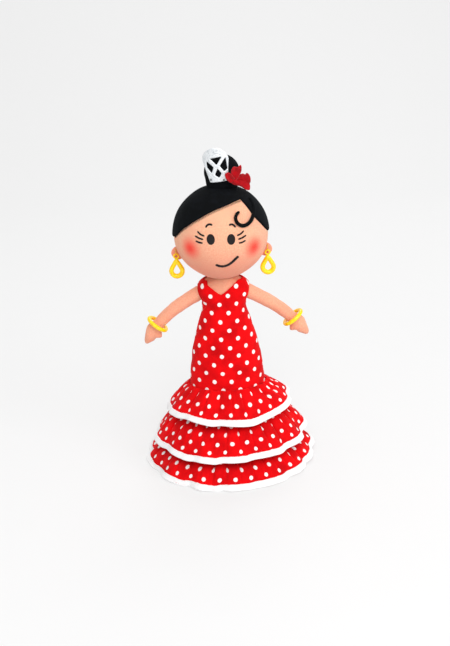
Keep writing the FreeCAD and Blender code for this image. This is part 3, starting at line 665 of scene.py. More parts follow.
def stitch_row(name, paths, material, spacing, length, radius, lean=0.0, spread=0.0, seed=1):
    """Threads laid along paths of points: spacing, length and radius are in millimetres."""
    points, edges = [], []
    for path in paths:
        start = len(points)
        points.extend((np.asarray(path) * MM).tolist())
        edges.extend((start + k, start + k + 1) for k in range(len(path) - 1))
    mesh = bpy.data.meshes.new(name)
    mesh.from_pydata(points, edges, [])
    piece = bpy.data.objects.new(name, mesh)
    bpy.context.scene.collection.objects.link(piece)
    modifier = piece.modifiers.new("stitches", "NODES")
    modifier.node_group = STITCH_TREE
    given = {"Spacing": spacing * MM, "Length": length * MM, "Radius": radius * MM,
             "Lean": lean, "Wander": spread, "Seed": seed, "Thread": material}
    for item in STITCH_TREE.interface.items_tree:
        if item.in_out == "INPUT" and item.name in given:
            modifier[item.identifier] = given[item.name]
    return settle(piece)


STITCH_TREE = stitch_tree()

HEAD = node_middle("head_cover")
HEAD_RADIUS = (node_box("head_cover")[1][0] - node_box("head_cover")[0][0]) / 2


# ---------------------------------------------------------------- head

HAIRLINE = (  # across and above the head's middle, from the doll's right to its left
    (-37.0, -2.6), (-29.5, 7.2), (-21.2, 14.1), (-14.0, 18.5), (-7.4, 21.9), (0.0, 24.6),
    (6.3, 26.4), (11.5, 27.6), (15.2, 28.2),
)
HAIRLINE_LEFT = ((15.2, 28.2), (19.8, 23.0), (24.5, 16.2), (30.3, 8.8), (37.0, -1.6))
HAIR_WALL = 1.2
HAIR_FRONT = 10.0
NAPE_DROP = 27.0
EYES = ((-7.6, 4.0), (7.2, 3.4))
CHEEKS = ((-23.0, -4.0), (23.8, -5.6))
BROWS = (((-10.9, 12.2), (-9.7, 13.9), (-8.0, 14.6), (-5.8, 14.0)),
         ((5.9, 13.5), (8.1, 13.9), (9.8, 12.9), (10.9, 11.4)))
LASHES = (((-17.1, 9.4), (-14.8, 7.4), (-12.0, 6.3)), ((-19.0, 6.0), (-15.9, 4.6), (-12.9, 3.8)),
          ((-18.6, 2.4), (-16.0, 1.5), (-13.5, 1.2)), ((16.7, 8.4), (14.4, 6.7), (11.4, 5.6)),
          ((18.3, 5.0), (15.2, 3.6), (12.1, 2.9)), ((17.7, 1.3), (15.0, 0.3), (12.5, 0.1)))
MOUTH = ((-5.0, -15.7), (-2.2, -17.1), (0.8, -17.5), (4.0, -16.6), (7.2, -14.4), (9.8, -11.9),
         (12.1, -9.9))


def on_head(across, rise, out=0.0):
    """A point on the front of the head, from across and rise about its middle."""
    across, rise = np.asarray(across, float), np.asarray(rise, float)
    way = np.stack([across, -np.sqrt(np.maximum(HEAD_RADIUS**2 - across**2 - rise**2, 0)),
                    rise], -1) / HEAD_RADIUS
    return HEAD + way * (HEAD_RADIUS * head_shape(way) + out)[..., None]


def ball_grid(middle, radius, rows, columns, shape):
    """A closed ball with its poles above and below, reshaped by shape(directions)."""
    climb = np.linspace(-math.pi / 2, math.pi / 2, rows)
    climb[0] += 1e-4
    climb[-1] -= 1e-4
    angle = np.linspace(0, FULL, columns, endpoint=False)
    way = np.stack(np.broadcast_arrays(
        np.cos(climb)[:, None] * np.cos(angle)[None],
        np.cos(climb)[:, None] * np.sin(angle)[None],
        np.sin(climb)[:, None]), -1)
    points = np.asarray(middle) + way * (radius * shape(way))[..., None]
    cloth = np.stack(np.broadcast_arrays(
        np.linspace(0, FULL, columns + 1)[None] * radius, climb[:, None] * radius), -1)
    return points, cloth


def head_shape(way):
    """The ball of the head: a little fuller at the cheeks and drawn in at the neck."""
    rise = way[..., 2]
    cheeks = 0.012 * np.exp(-((rise + 0.22) / 0.28) ** 2)
    jaw = -0.012 * np.exp(-((rise + 0.80) / 0.16) ** 2)
    lumps = 0.0035 * np.sin(5.1 * way[..., 0] + 2) * np.sin(4.3 * rise + 3 * way[..., 1])
    return 1 + cheeks + jaw + lumps


def capped(points, cloth):
    """A grid of rings whose first and last ring are closed with a face."""
    columns = points.shape[1]
    flat, faces, corners = grid(points, cloth, wrap=True)
    last = len(flat) - columns
    ends = [list(range(columns)), list(range(last, last + columns))]
    return flat, faces + ends, np.concatenate([corners, np.zeros((2 * columns, 2))])


def make_head(material):
    points, cloth = ball_grid(HEAD, HEAD_RADIUS, 121, 240, head_shape)
    return closed(add_mesh("head_knit", capped(points, cloth), material))


def hairline(across):
    """How far above the head's middle the hair starts, at places across the face."""
    return np.where(across < HAIRLINE[-1][0], smooth_curve(HAIRLINE, across),
                    smooth_curve(HAIRLINE_LEFT, across))


def hair_excess(points):
    """How far points on the head are outside the hair cloth."""
    across, deep, rise = (points - HEAD).T
    line = hairline(np.clip(across, HAIRLINE[0][0], HAIRLINE_LEFT[-1][0]))
    face = np.minimum((line - rise) * 0.75, HAIR_FRONT - deep)
    nape = -NAPE_DROP + 3.0 * (across / 25) ** 2 - rise
    return np.maximum(face, nape)


def make_hair(material):
    points, cloth = ball_grid(HEAD, HEAD_RADIUS, 181, 360, head_shape)
    flat, faces, corners = grid(points, cloth, wrap=True)
    flat, faces, corners, excess = trimmed(flat, faces, corners, hair_excess(flat))
    rim = np.clip(-excess / 1.5, 0, 1)
    lift = 0.1 + HAIR_WALL * np.sqrt(1 - (1 - rim) ** 2)
    way = (flat - HEAD) / np.linalg.norm(flat - HEAD, axis=1, keepdims=True)
    lift += 0.25 * np.sin(way[:, 0] * 7 + way[:, 2] * 4) * np.sin(way[:, 1] * 6) * rim
    return thicken(add_mesh("hair_velour", (flat + way * lift[:, None], faces, corners), material),
                   0.8)


def make_eye(name, across, rise, material):
    """A padded oval of satin stitch, laid across its short way."""
    rings, columns = 9, 40
    share = np.linspace(0, 1, rings)[:, None] + 1e-4
    angle = np.linspace(0, FULL, columns, endpoint=False)[None]
    dome = 0.6 * np.sqrt(np.maximum(1 - share**2.5, 0)) - 0.1
    flat_x = across + 3.1 * share * np.cos(angle)
    flat_z = rise + 4.1 * share * np.sin(angle)
    points = on_head(flat_x, flat_z, np.broadcast_to(dome, flat_x.shape))
    cloth = np.stack([flat_z, flat_x], -1)
    cloth = np.concatenate([cloth, cloth[:, :1]], 1)
    return add_mesh(name, grid(points, cloth, wrap=True, flip=True), material)


def make_stroke(name, stations, width, material, taper=0.12):
    """A line of close stitching on the face."""
    stations = np.array(stations)
    run = np.concatenate([[0], np.cumsum(np.linalg.norm(np.diff(stations, axis=0), axis=1))])
    at = np.linspace(0, run[-1], 48)
    across = smooth_curve(list(zip(run, stations[:, 0])), at)
    rise = smooth_curve(list(zip(run, stations[:, 1])), at)
    path = on_head(across, rise, np.full(len(at), 0.12))
    up = path - HEAD
    ends = rounded_ends(len(at), taper)
    wide = width / 2 * ends * (1 + 0.05 * np.sin(at * 2.7))
    return add_mesh(name, sweep(path, wide, 0.36 * ends, up), material)


def make_curl(material):
    """The forehead curl, from the hair round and into its own middle."""
    turn = np.linspace(math.radians(62), math.radians(-222), 90)
    share = np.linspace(0, 1, 90)
    reach = smooth_curve(((0, 9.6), (0.12, 8.4), (0.3, 6.9), (0.6, 6.4), (0.85, 5.6), (1, 3.7)),
                         share)
    across = 16.6 + reach * np.cos(turn)
    rise = 18.4 + reach * np.sin(turn) * 1.02
    path = on_head(across, rise, np.full(90, 1.1))
    radius = 1.38 * np.minimum(1, rounded_ends(90, 0.05) + 0.05)
    radius = radius * (1 - 0.28 * share**3)
    return add_mesh("forehead_curl_cord",
                    sweep(path, radius * 1.05, radius, path - HEAD), material)


def bun_shape(way):
    """A stuffed ball drawn in at its foot, with soft folds running down."""
    rise = way[..., 2]
    angle = np.arctan2(way[..., 1], way[..., 0])
    low = np.clip((-rise - 0.1) / 0.9, 0, 1)
    foot = 0.17 * np.clip((-rise - 0.25) / 0.4, 0, 1) ** 2
    folds = 0.03 * low * np.sin(11 * angle + wander(angle, 3)) + 0.012 * wander(angle, 5)
    return 1 + foot + folds * (1 - np.abs(rise) ** 8)


def make_bun(material):
    points, cloth = ball_grid(BUN, BUN_RADIUS - 0.1, 81, 160, bun_shape)
    return closed(add_mesh("bun_velour", capped(points, cloth), material))


BUN_RADIUS = (node_box("bun_cover")[1][0] - node_box("bun_cover")[0][0]) / 2
BUN = np.array([*node_middle("bun_cover")[:2], node_box("bun_cover")[1][2] - BUN_RADIUS])
COMB_LOW = node_box("hair_comb")[0]
COMB_MIDDLE = -0.8
COMB_BEND = BUN_RADIUS + 0.65


def beyond_polygon(across, rise, corners, round_off=0.5):
    """How far points are outside a convex outline with its corners rounded."""
    corners = np.array(corners, float)
    middle = corners.mean(0)
    total = 0
    sharp = 3.0 / round_off
    for one, two in zip(corners, np.roll(corners, -1, 0)):
        way = (two - one) / np.linalg.norm(two - one)
        out = np.array([way[1], -way[0]])
        if (middle - one) @ out > 0:
            out = -out
        far = (across - one[0]) * out[0] + (rise - one[1]) * out[1]
        total = total + np.exp(np.clip(far * sharp, -60, 60))
    return np.log(total) / sharp


COMB_LEAN, COMB_TURN_RISE = 7, 10  # degrees to the doll's right, about a point over its foot


def comb_excess(across, rise):
    """How far points of the flat comb are outside its bars: rise is from its foot."""
    tall, wide, foot_wide = 25.2, 9.6, 6.4
    up = rise - COMB_TURN_RISE
    lean = math.radians(COMB_LEAN)
    across, rise = (across * math.cos(lean) + up * math.sin(lean),
                    COMB_TURN_RISE + up * math.cos(lean) - across * math.sin(lean))
    shoulder = tall - wide
    lower = beyond_polygon(across, rise, ((-foot_wide, 0), (foot_wide, 0), (wide, shoulder),
                                          (wide, shoulder + 1), (-wide, shoulder + 1),
                                          (-wide, shoulder)), 0.8)
    upper = np.hypot(across, rise - shoulder) - wide
    outline = np.where(rise > shoulder, upper, lower)
    windows = (
        ((0.2, 12.6), (4.8, 18.4), (-4.0, 17.6)),
        ((0.5, 10.0), (2.9, 5.9), (0.6, 3.2), (-2.2, 5.5)),
        ((2.4, 11.6), (7.5, 17.6), (7.6, 8.8), (4.9, 7.3)),
        ((-2.2, 11.2), (-6.9, 16.2), (-7.1, 11.0), (-4.2, 6.9)),
    )
    gaps = [-beyond_polygon(across, rise, window, 0.7) for window in windows]
    return np.maximum(outline, np.max(gaps, axis=0))


def make_comb(material):
    """The openwork comb: bars with rounded faces, bent round the bun."""
    across = np.linspace(-11, 11, 111)
    rise = np.linspace(-0.6, 25.8, 132)
    flat = np.stack(np.meshgrid(across, rise, indexing="xy"), -1)
    flat = np.concatenate([flat, np.zeros((*flat.shape[:2], 1))], -1)
    cloth = flat[..., :2].copy()
    points, faces, corners = grid(flat, cloth)
    excess = comb_excess(points[:, 0], points[:, 1])
    points, faces, corners, excess = trimmed(points, faces, corners, excess)
    swell = np.sqrt(1 - (1 - np.clip(-excess / 0.75, 0, 1)) ** 2)
    arch = np.abs(np.hypot(points[:, 0], points[:, 1] - 16.6) - 4.2)
    groove = 0.3 * np.exp(-(arch / 0.35) ** 2) * (points[:, 1] > 19.2)
    both = []
    for side, lift in ((1, 0.62), (-1, 0.5)):
        radius = COMB_BEND + side * lift * swell - (groove * swell if side > 0 else 0)
        x = COMB_MIDDLE - BUN[0] + points[:, 0]
        deep = np.sqrt(np.maximum(COMB_BEND**2 - x**2, 16))
        way = np.stack([x, -deep], -1) / np.hypot(x, deep)[:, None]
        spot = way * radius[:, None]
        shift = np.hypot(x, deep) - COMB_BEND
        both.append(np.stack([BUN[0] + spot[:, 0] + way[:, 0] * shift,
                              BUN[1] + spot[:, 1] + way[:, 1] * shift,
                              COMB_LOW[2] + points[:, 1]], -1))
    count = len(points)
    back = [[v + count for v in face[::-1]] for face in faces]
    ends = np.cumsum([len(face) for face in faces])[:-1]
    turned = np.concatenate([corner[::-1] for corner in np.split(corners, ends)])
    return closed(add_mesh("comb_moulding",
                           (np.concatenate(both), faces + back, np.concatenate([corners, turned])),
                           material))


def make_comb_stitches(material):
    """Two cross stitches over the comb's lower corners."""
    shapes = []
    for side in (1, -1):
        for lean in (1, -1):
            t = np.linspace(-1, 1, 24)
            x = COMB_MIDDLE + side * 4.7 + t * 0.8 * lean
            z = COMB_LOW[2] + 1.6 + t * 0.9
            away = COMB_BEND + 0.75 - 0.9 * t**4
            y = BUN[1] - np.sqrt(np.maximum(away**2 - (x - BUN[0]) ** 2, 1))
            path = np.stack([x, y, z], -1)
            shapes.append(sweep(path, 0.2, 0.2, path - BUN, sides=8))
    return add_mesh("comb_thread", merged(shapes), material)


def merged(shapes):
    """Several (points, faces, cloth) shapes as one."""
    points, faces, corners, start = [], [], [], 0
    for shape_points, shape_faces, shape_corners in shapes:
        points.append(shape_points)
        faces += [[v + start for v in face] for face in shape_faces]
        corners.append(shape_corners)
        start += len(shape_points)
    return np.concatenate(points), faces, np.concatenate(corners)


PETALS = (  # piece, front, cup and outline (across, height), in order from the left lobe
    ("flower_petal_front", -15.3, 0.9, (
        (4.9, 232.7), (7.0, 234.0), (9.9, 232.0), (11.2, 229.0), (9.1, 226.6), (6.4, 228.9))),
    ("flower_petal_top", -13.8, 1.3, (
        (9.2, 230.4), (9.7, 235.0), (11.6, 237.9), (14.2, 237.4), (16.9, 238.7), (16.8, 235.3),
        (15.6, 232.4), (12.6, 228.1), (10.2, 227.9))),
    ("flower_petal_side", -12.9, 1.2, (
        (12.6, 229.0), (15.6, 231.6), (18.0, 232.4), (19.8, 231.6), (21.4, 232.4), (23.2, 229.7),
        (22.9, 226.1), (21.3, 224.0), (18.0, 225.0), (14.6, 226.4))),
    ("flower_fold", -15.6, -1.0, (
        (6.5, 229.4), (10.9, 228.9), (15.6, 227.8), (20.4, 226.1), (22.7, 224.0), (22.3, 220.5),
        (19.8, 221.2), (15.6, 223.8), (10.4, 225.6))),
)


def closed_curve(corners, count):
    """A smooth closed curve through corners."""
    corners = np.array(corners, float)
    number = len(corners)
    at = np.linspace(0, number, count, endpoint=False)
    index = at.astype(int)
    t = (at - index)[:, None]
    p = [corners[(index + shift) % number] for shift in (-1, 0, 1, 2)]
    return (p[1] + 0.5 * t * (p[2] - p[0] + t * (2 * p[0] - 5 * p[1] + 4 * p[2] - p[3]
                                                 + t * (3 * (p[1] - p[2]) + p[3] - p[0]))))


def make_petal(name, front, cup, outline, material):
    """A cupped felt petal inside a smooth outline, with a slightly wavy face."""
    rings, columns = 22, 120
    edge = closed_curve(outline, columns)
    middle = edge.mean(0)
    share = np.linspace(0, 1, rings)[:, None, None] + 1e-3
    flat = middle + (edge - middle)[None] * share
    angle = np.linspace(0, FULL, columns, endpoint=False)[None]
    share = share[..., 0]
    lift = -cup * share**2 * (1 + 0.5 * np.sin(2 * angle + front))
    lift = lift + 0.35 * share**2 * np.sin(5 * angle + front)
    lift = lift + 0.25 * np.sin(flat[..., 0] * 1.3 + front) * share
    points = np.stack([flat[..., 0], front + lift, flat[..., 1]], -1)
    cloth = np.concatenate([flat, flat[:, :1]], 1)
    turned = grid(points[:, ::-1], cloth[:, ::-1], wrap=True)
    return thicken(add_mesh(name + "_felt", turned, material), 1.1, 0.0)


def make_ear(name, sign, material):
    """A folded felt ear, a small rounded oval."""
    middle = node_middle(name)
    rings, columns = 14, 72
    share = np.linspace(1e-3, 1, rings)[:, None]
    angle = np.linspace(0, FULL, columns, endpoint=False)[None]
    one = 5.1 * share * np.cos(angle) * (1 + 0.06 * np.cos(2 * angle))
    two = 5.4 * share * np.sin(angle)
    deep = 0.7 * np.sqrt(1 - share**4 + 1e-6)
    hollow = 0.45 * (1 - share**2) * np.ones_like(angle)
    shapes = []
    for side in (1, -1):
        y = middle[1] - side * deep + (hollow if side > 0 else 0)
        points = np.stack(np.broadcast_arrays(middle[0] + sign * one, y, middle[2] + two), -1)
        cloth = np.stack([one, two], -1)
        cloth = np.concatenate([cloth, cloth[:, :1]], 1)
        shapes.append(grid(points, cloth, wrap=True, flip=side * sign > 0))
    return closed(add_mesh(f"{name}_felt", merged(shapes), material))


def even_path(path, count, rounds):
    """Evenly spaced points round a closed path, smoothed that many times."""
    path = np.array(path, float)
    ends = np.concatenate([path, path[:1]])
    run = np.concatenate([[0], np.cumsum(np.linalg.norm(np.diff(ends, axis=0), axis=1))])
    at = np.linspace(0, run[-1], count, endpoint=False)
    path = np.stack([np.interp(at, run, ends[:, axis]) for axis in range(3)], -1)
    for _ in range(rounds):
        path = path * 0.5 + (np.roll(path, 1, 0) + np.roll(path, -1, 0)) * 0.25
    return path


def make_earring(name, material):
    """The moulded drop hoop with its eyelet, as one smooth casting."""
    low, high = node_box(name)
    x, y = (low[0] + high[0]) / 2, (low[1] + high[1]) / 2
    eye_z = high[2] - 1.75 - 0.6
    turn = np.linspace(0, FULL, 48, endpoint=False)
    eye = np.stack([x + 1.75 * np.cos(turn), np.full(48, y), eye_z + 1.75 * np.sin(turn)], -1)
    point, reach, radius = eye_z - 1.75 - 1.85 + 0.3, 8.4, 4.3
    lean = math.asin(radius / reach)
    arc = np.linspace(math.pi - lean, FULL + lean, 60)
    ring = np.stack([x + radius * np.cos(arc), np.full(60, y),
                     point - reach + radius * np.sin(arc)], -1)
    ring = even_path(np.concatenate([[[x, y, point]], ring]), 110, 22)
    fat = 1.82 + 0.1 * np.cos(np.linspace(0, FULL, 110, endpoint=False) + math.pi)
    front = (0, -1, 0)
    hoop = merged([sweep(eye, 0.62, 0.6, front, looped=True, sides=14),
                   sweep(ring, fat, 1.8, front, looped=True, sides=22),
                   sweep([[x, y, eye_z - 1.5], [x, y, eye_z - 2.3], [x, y, eye_z - 3.2]],
                         (0.9, 1.0, 1.3), (0.6, 0.8, 1.2), front)])
    return closed(add_mesh(f"{name}_moulding", hoop, material))


LOOP_RADIUS = 2.6


def make_loop(name, material):
    """The thread that is sewn into the ear and carries an earring."""
    middle = node_middle(name)
    turn = np.linspace(0, FULL, 64, endpoint=False)
    shapes = []
    for ply in range(2):
        twist = 14 * turn + ply * math.pi
        reach = LOOP_RADIUS + 0.15 * np.cos(twist)
        path = np.stack([middle[0] + 0.15 * np.sin(twist), middle[1] + reach * np.cos(turn),
                         middle[2] + reach * np.sin(turn)], -1)
        shapes.append(sweep(path, 0.19, 0.19, path - middle, looped=True, sides=8))
    return closed(add_mesh(f"{name}_twist", merged(shapes), material))


# ---------------------------------------------------------------- body and dress

BASE_TOP = node_box("base_disc")[1][2]
BODY_RINGS = (  # height, half width and half depth outside the knit
    (62.0, 29.0, 20.5), (80.0, 27.4, 19.3), (98.0, 24.3, 17.5), (115.0, 19.6, 14.9),
    (129.0, 16.1, 12.5), (134.0, 17.2, 12.3), (138.0, 18.8, 12.1), (141.0, 19.4, 11.9),
    (144.0, 19.0, 11.2), (146.6, 17.4, 10.4), (148.4, 14.8, 9.7), (149.6, 12.0, 9.2),
    (151.0, 9.8, 9.0), (153.5, 8.9, 8.9),
)
SQUARE_RANGE = (57, 154)
SQUARE = (  # height and power of the body's cross-section, 2 for an ellipse
    (57, 2.0), (120, 2.0), (131, 2.3), (138, 2.9), (145, 2.8), (150, 2.2), (154, 2.0),
)
CONE = ((3.0, 50.0, 50.0), (62.0, 29.0, 20.5))
CLOTH_OUT = 0.95  # from the knit to the outside of the cotton over it
SHOULDER = joint_place("shoulder_lift_left")
ARM_DROOP = math.radians(38.6)
ARM_ROOM = ((18.5, 138.6), (20.2, 135.9), (21.9, 133.0), (23.6, 130.2))  # lowered arm's line
ARM_ROOM_RADIUS = 6.1
BACK_CUT = 145.0


def normals(points, wrap=True):
    """Outward unit normals of a grid whose rows climb and whose columns go round by +Z."""
    if wrap:
        across = np.roll(points, -1, 1) - np.roll(points, 1, 1)
    else:
        across = np.gradient(points, axis=1)
    along = np.gradient(points, axis=0)
    way = np.cross(across, along)
    return way / np.maximum(np.linalg.norm(way, axis=-1, keepdims=True), 1e-9)


def body_size(height):
    """Half width and half depth of the stuffed body at heights above the hip."""
    rings = np.array(BODY_RINGS)
    return (smooth_curve(rings[:, (0, 1)], height), smooth_curve(rings[:, (0, 2)], height))


def cone_size(height):
    """Half width and half depth of the stuffed cone under the skirt."""
    (low, *foot), (high, *hip) = CONE
    share = (np.asarray(height) - low) / (high - low)
    return foot[0] + (hip[0] - foot[0]) * share, foot[1] + (hip[1] - foot[1]) * share


def arm_dent(points, room):
    """Presses points clear of the arms over their whole travel."""
    points = points.copy()
    for _, sign in SIDES:
        for across, height in ARM_ROOM:
            inner = room**2 - points[..., 1] ** 2 - (points[..., 2] - height) ** 2
            limit = across - np.sqrt(np.maximum(inner, 0))
            side = points[..., 0] * sign
            dent = (inner > 0) & (side > limit) & (side > 0)
            points[..., 0] = np.where(dent, sign * limit, points[..., 0])
    return points


def oval_rings(heights, sizes, columns, start):
    """Rings of rounded ellipses; start is the angle of the first column, going by +Z."""
    angle = start + np.linspace(0, FULL, columns, endpoint=False)[None]
    wide, deep = sizes
    power = 2 / smooth_curve(SQUARE, np.clip(heights, *SQUARE_RANGE))[:, None]
    x = wide[:, None] * np.sign(np.cos(angle)) * np.abs(np.cos(angle)) ** power
    y = deep[:, None] * np.sign(np.sin(angle)) * np.abs(np.sin(angle)) ** power
    z = np.broadcast_to(np.asarray(heights, float)[:, None], x.shape)
    return np.stack([x, y, z], -1)


def cloth_map(points, start_along=0.0, middle=None):
    """Arc lengths round and up a grid of rings, as the cloth lies."""
    around = np.linalg.norm(np.roll(points, -1, 1) - points, axis=-1)
    run = np.concatenate([np.zeros((len(points), 1)), np.cumsum(around, 1)], 1)
    if middle is not None:
        run -= run[:, middle][:, None]
    climb = np.linalg.norm(np.diff(points, axis=0), axis=-1).mean(1)
    up = start_along + np.concatenate([[0], np.cumsum(climb)])
    return np.stack(np.broadcast_arrays(run, up[:, None]), -1)


def make_body(material):
    """The knit of the body and neck, mostly hidden by the dress."""
    low = np.linspace(BASE_TOP, 58, 12)
    high = np.linspace(62, 153.5, 92)
    sizes = [np.concatenate(pair) for pair in zip(cone_size(low), body_size(high))]
    points = oval_rings(np.concatenate([low, high]), sizes, 160, -math.pi / 2)
    points = arm_dent(points, ARM_ROOM_RADIUS)
    top = points[..., 2] > 149.3
    reach = np.linalg.norm(points - HEAD, axis=-1, keepdims=True)
    under = HEAD + (points - HEAD) * np.maximum(1, (HEAD_RADIUS + 0.5) / reach)
    points = np.where(top[..., None], under, points)
    return closed(add_mesh("body_knit", capped(points, cloth_map(points)), material))


WRINKLES = (  # angle round from the front, height, lean, length, width and depth
    (-0.35, 105.5, 0.10, 26, 3.4, 0.75), (0.25, 91.0, -0.14, 24, 3.6, 0.7),
    (-0.95, 131.5, 0.5, 9, 1.1, 1.5), (0.45, 101.0, 0.2, 15, 3.0, 0.5),
    (-0.5, 86.0, 0.22, 17, 3.2, 0.5), (0.1, 73.5, -0.1, 22, 3.0, 0.55),
    (0.8, 131.5, -0.5, 7, 1.6, 0.6), (-1.1, 112.0, 0.35, 12, 2.6, 0.5),
    (1.1, 96.0, -0.3, 13, 2.8, 0.5), (2.6, 104.0, 0.2, 26, 3.2, 0.7),
    (-2.5, 90.0, -0.2, 24, 3.4, 0.7), (3.1, 120.0, 0.1, 18, 2.6, 0.5),
    (2.2, 78.0, 0.25, 17, 3.0, 0.6), (-2.1, 128.0, -0.4, 10, 2.0, 0.6),
)


def dress_rings():
    """The sheath's outside, as rings that start behind the doll."""
    heights = np.concatenate([np.linspace(57.5, 147.0, 124), np.linspace(147.5, 150.6, 9)])
    points = oval_rings(heights, body_size(heights), 360, math.pi / 2)
    points = points + normals(points) * CLOTH_OUT
    around = np.arctan2(points[..., 0], -points[..., 1])
    height = points[..., 2]
    dip = np.zeros_like(height)
    for angle, middle, lean, length, width, depth in WRINKLES:
        gap = (around - angle + math.pi) % FULL - math.pi
        along = gap * 24 * math.cos(lean) + (height - middle) * math.sin(lean)
        over = (height - middle) * math.cos(lean) - gap * 24 * math.sin(lean)
        over = over + 0.004 * along**2
        fold = np.exp(-(along / length) ** 2)
        dip += depth * fold * (np.exp(-(over / width) ** 2)
                               - 0.55 * np.exp(-((over + 1.9 * width) / width) ** 2))
    slack = 0.14 * np.sin(height * 0.33 + 3 * np.sin(around * 2)) * np.sin(around * 5 + 1)
    hip = np.clip((height - 58) / 12, 0.3, 1)
    top = np.clip((147 - height) / 6, 0, 1)
    out = (slack - np.minimum(dip, 0.85 + 0 * dip)) * hip * top
    out = np.maximum(out, -0.62)
    points = points + normals(points) * out[..., None]
    return arm_dent(points, ARM_ROOM_RADIUS - 0.35), around


VEE_LOW, VEE_ACROSS = 138.9, -2.0  # where the neckline's V has its lowest point
VEE_SLOPE, VEE_ROUND = 0.80, 0.5


def dress_excess(points, front):
    """How far points are outside a dress panel: past its neckline or in an armhole."""
    x, y, z = points.T
    reach = np.abs(x)
    slope = VEE_SLOPE * (x - VEE_ACROSS)
    vee = VEE_LOW + np.sqrt(slope**2 + VEE_ROUND) if front else BACK_CUT
    neck = np.minimum((z - vee) * 0.8, (12.2 - reach) * 1.4)
    neck = np.maximum(neck, z - 149.5)
    away = np.hypot(y, z - np.clip(z, 135.6, 138.6))
    arm = np.where(reach > 9, 6.2 - away, -9.0)
    return np.maximum(neck, arm)


def make_dress(material):
    """The sheath's front and back panel, joined at the sides, each a turned-in sheet."""
    points, _ = dress_rings()
    cloth = cloth_map(points, 0, 180)
    cloth[..., 1] = points[:, 180, 2][:, None]
    panels = []
    for name, columns, front in (("dress_front", slice(90, 271), True),
                                 ("dress_back", None, False)):
        if front:
            piece_points, piece_cloth = points[:, columns], cloth[:, columns]
        else:
            order = np.concatenate([np.arange(270, 360), np.arange(0, 91)])
            piece_points = points[:, order]
            far = cloth[:, -1:, 0]
            run = np.where(np.arange(181)[None] < 90, cloth[:, order, 0],
                           cloth[:, order, 0] + far - cloth[:, :1, 0])
            piece_cloth = np.stack([run, cloth[:, order, 1]], -1)
        flat, faces, corners = grid(piece_points, piece_cloth)
        out = normals(piece_points, wrap=False).reshape(-1, 3)
        excess = dress_excess(flat, front)
        hem = 0.22 * np.exp(-((np.abs(excess) - 0.5) / 0.8) ** 2)
        flat = flat + out * hem[:, None]
        kept = trimmed(flat, faces, corners, excess)
        panels.append(thicken(add_mesh(f"{name}_cotton", kept[:3], material), 0.75))
    return panels


RUFFLES = {  # seam height, hem height, hem radius, hem tilt, gathers, hem waves, seed
    "top": (63.5, 44.5, 48.7, 2.5, 23, 9, 2),
    "middle": (47.0, 19.5, 61.0, 3.2, 29, 12, 5),
    "bottom": (20.0, 3.4, 67.7, 2.5, 36, 15, 8),
}
HEM_LIFT = {  # angle round from the front in degrees, lift and spread of the hem
    "top": ((-180, 0, 0), (-120, 0, 0), (-90, -1.0, 0.5), (-62, 2.0, 0), (-45, 3.6, 0),
            (-22, 2.4, 0), (0, 0.9, 0), (20, -0.6, 0), (45, -1.2, 0), (70, 0.5, 1.2),
            (95, 1.8, 1.6), (130, 0.5, 0.5), (180, 0, 0)),
    "middle": ((-180, 0, 0), (-120, 0, 0), (-90, 1.0, -0.8), (-60, 3.0, -1.0), (-30, 1.7, 0),
               (0, 1.2, 0), (20, 0.6, 0), (45, -1.6, 0), (70, -2.2, 0.4), (95, -0.6, 0.6),
               (130, 0, 0), (180, 0, 0)),
    "bottom": ((-180, 0.6, 0), (-120, 0.2, 0), (-90, 0.0, 0), (-60, -1.2, 0), (-30, -1.6, 0.6),
               (-12, -2.7, 0.8), (10, -3.1, 0.6), (30, -3.9, 1.0), (55, -4.3, 0.6),
               (75, -3.6, 0), (95, -1.6, 0), (130, -0.6, 0), (180, 0.6, 0)),
}
RUFFLE_COLUMNS = 864
RIBBON = 5.3


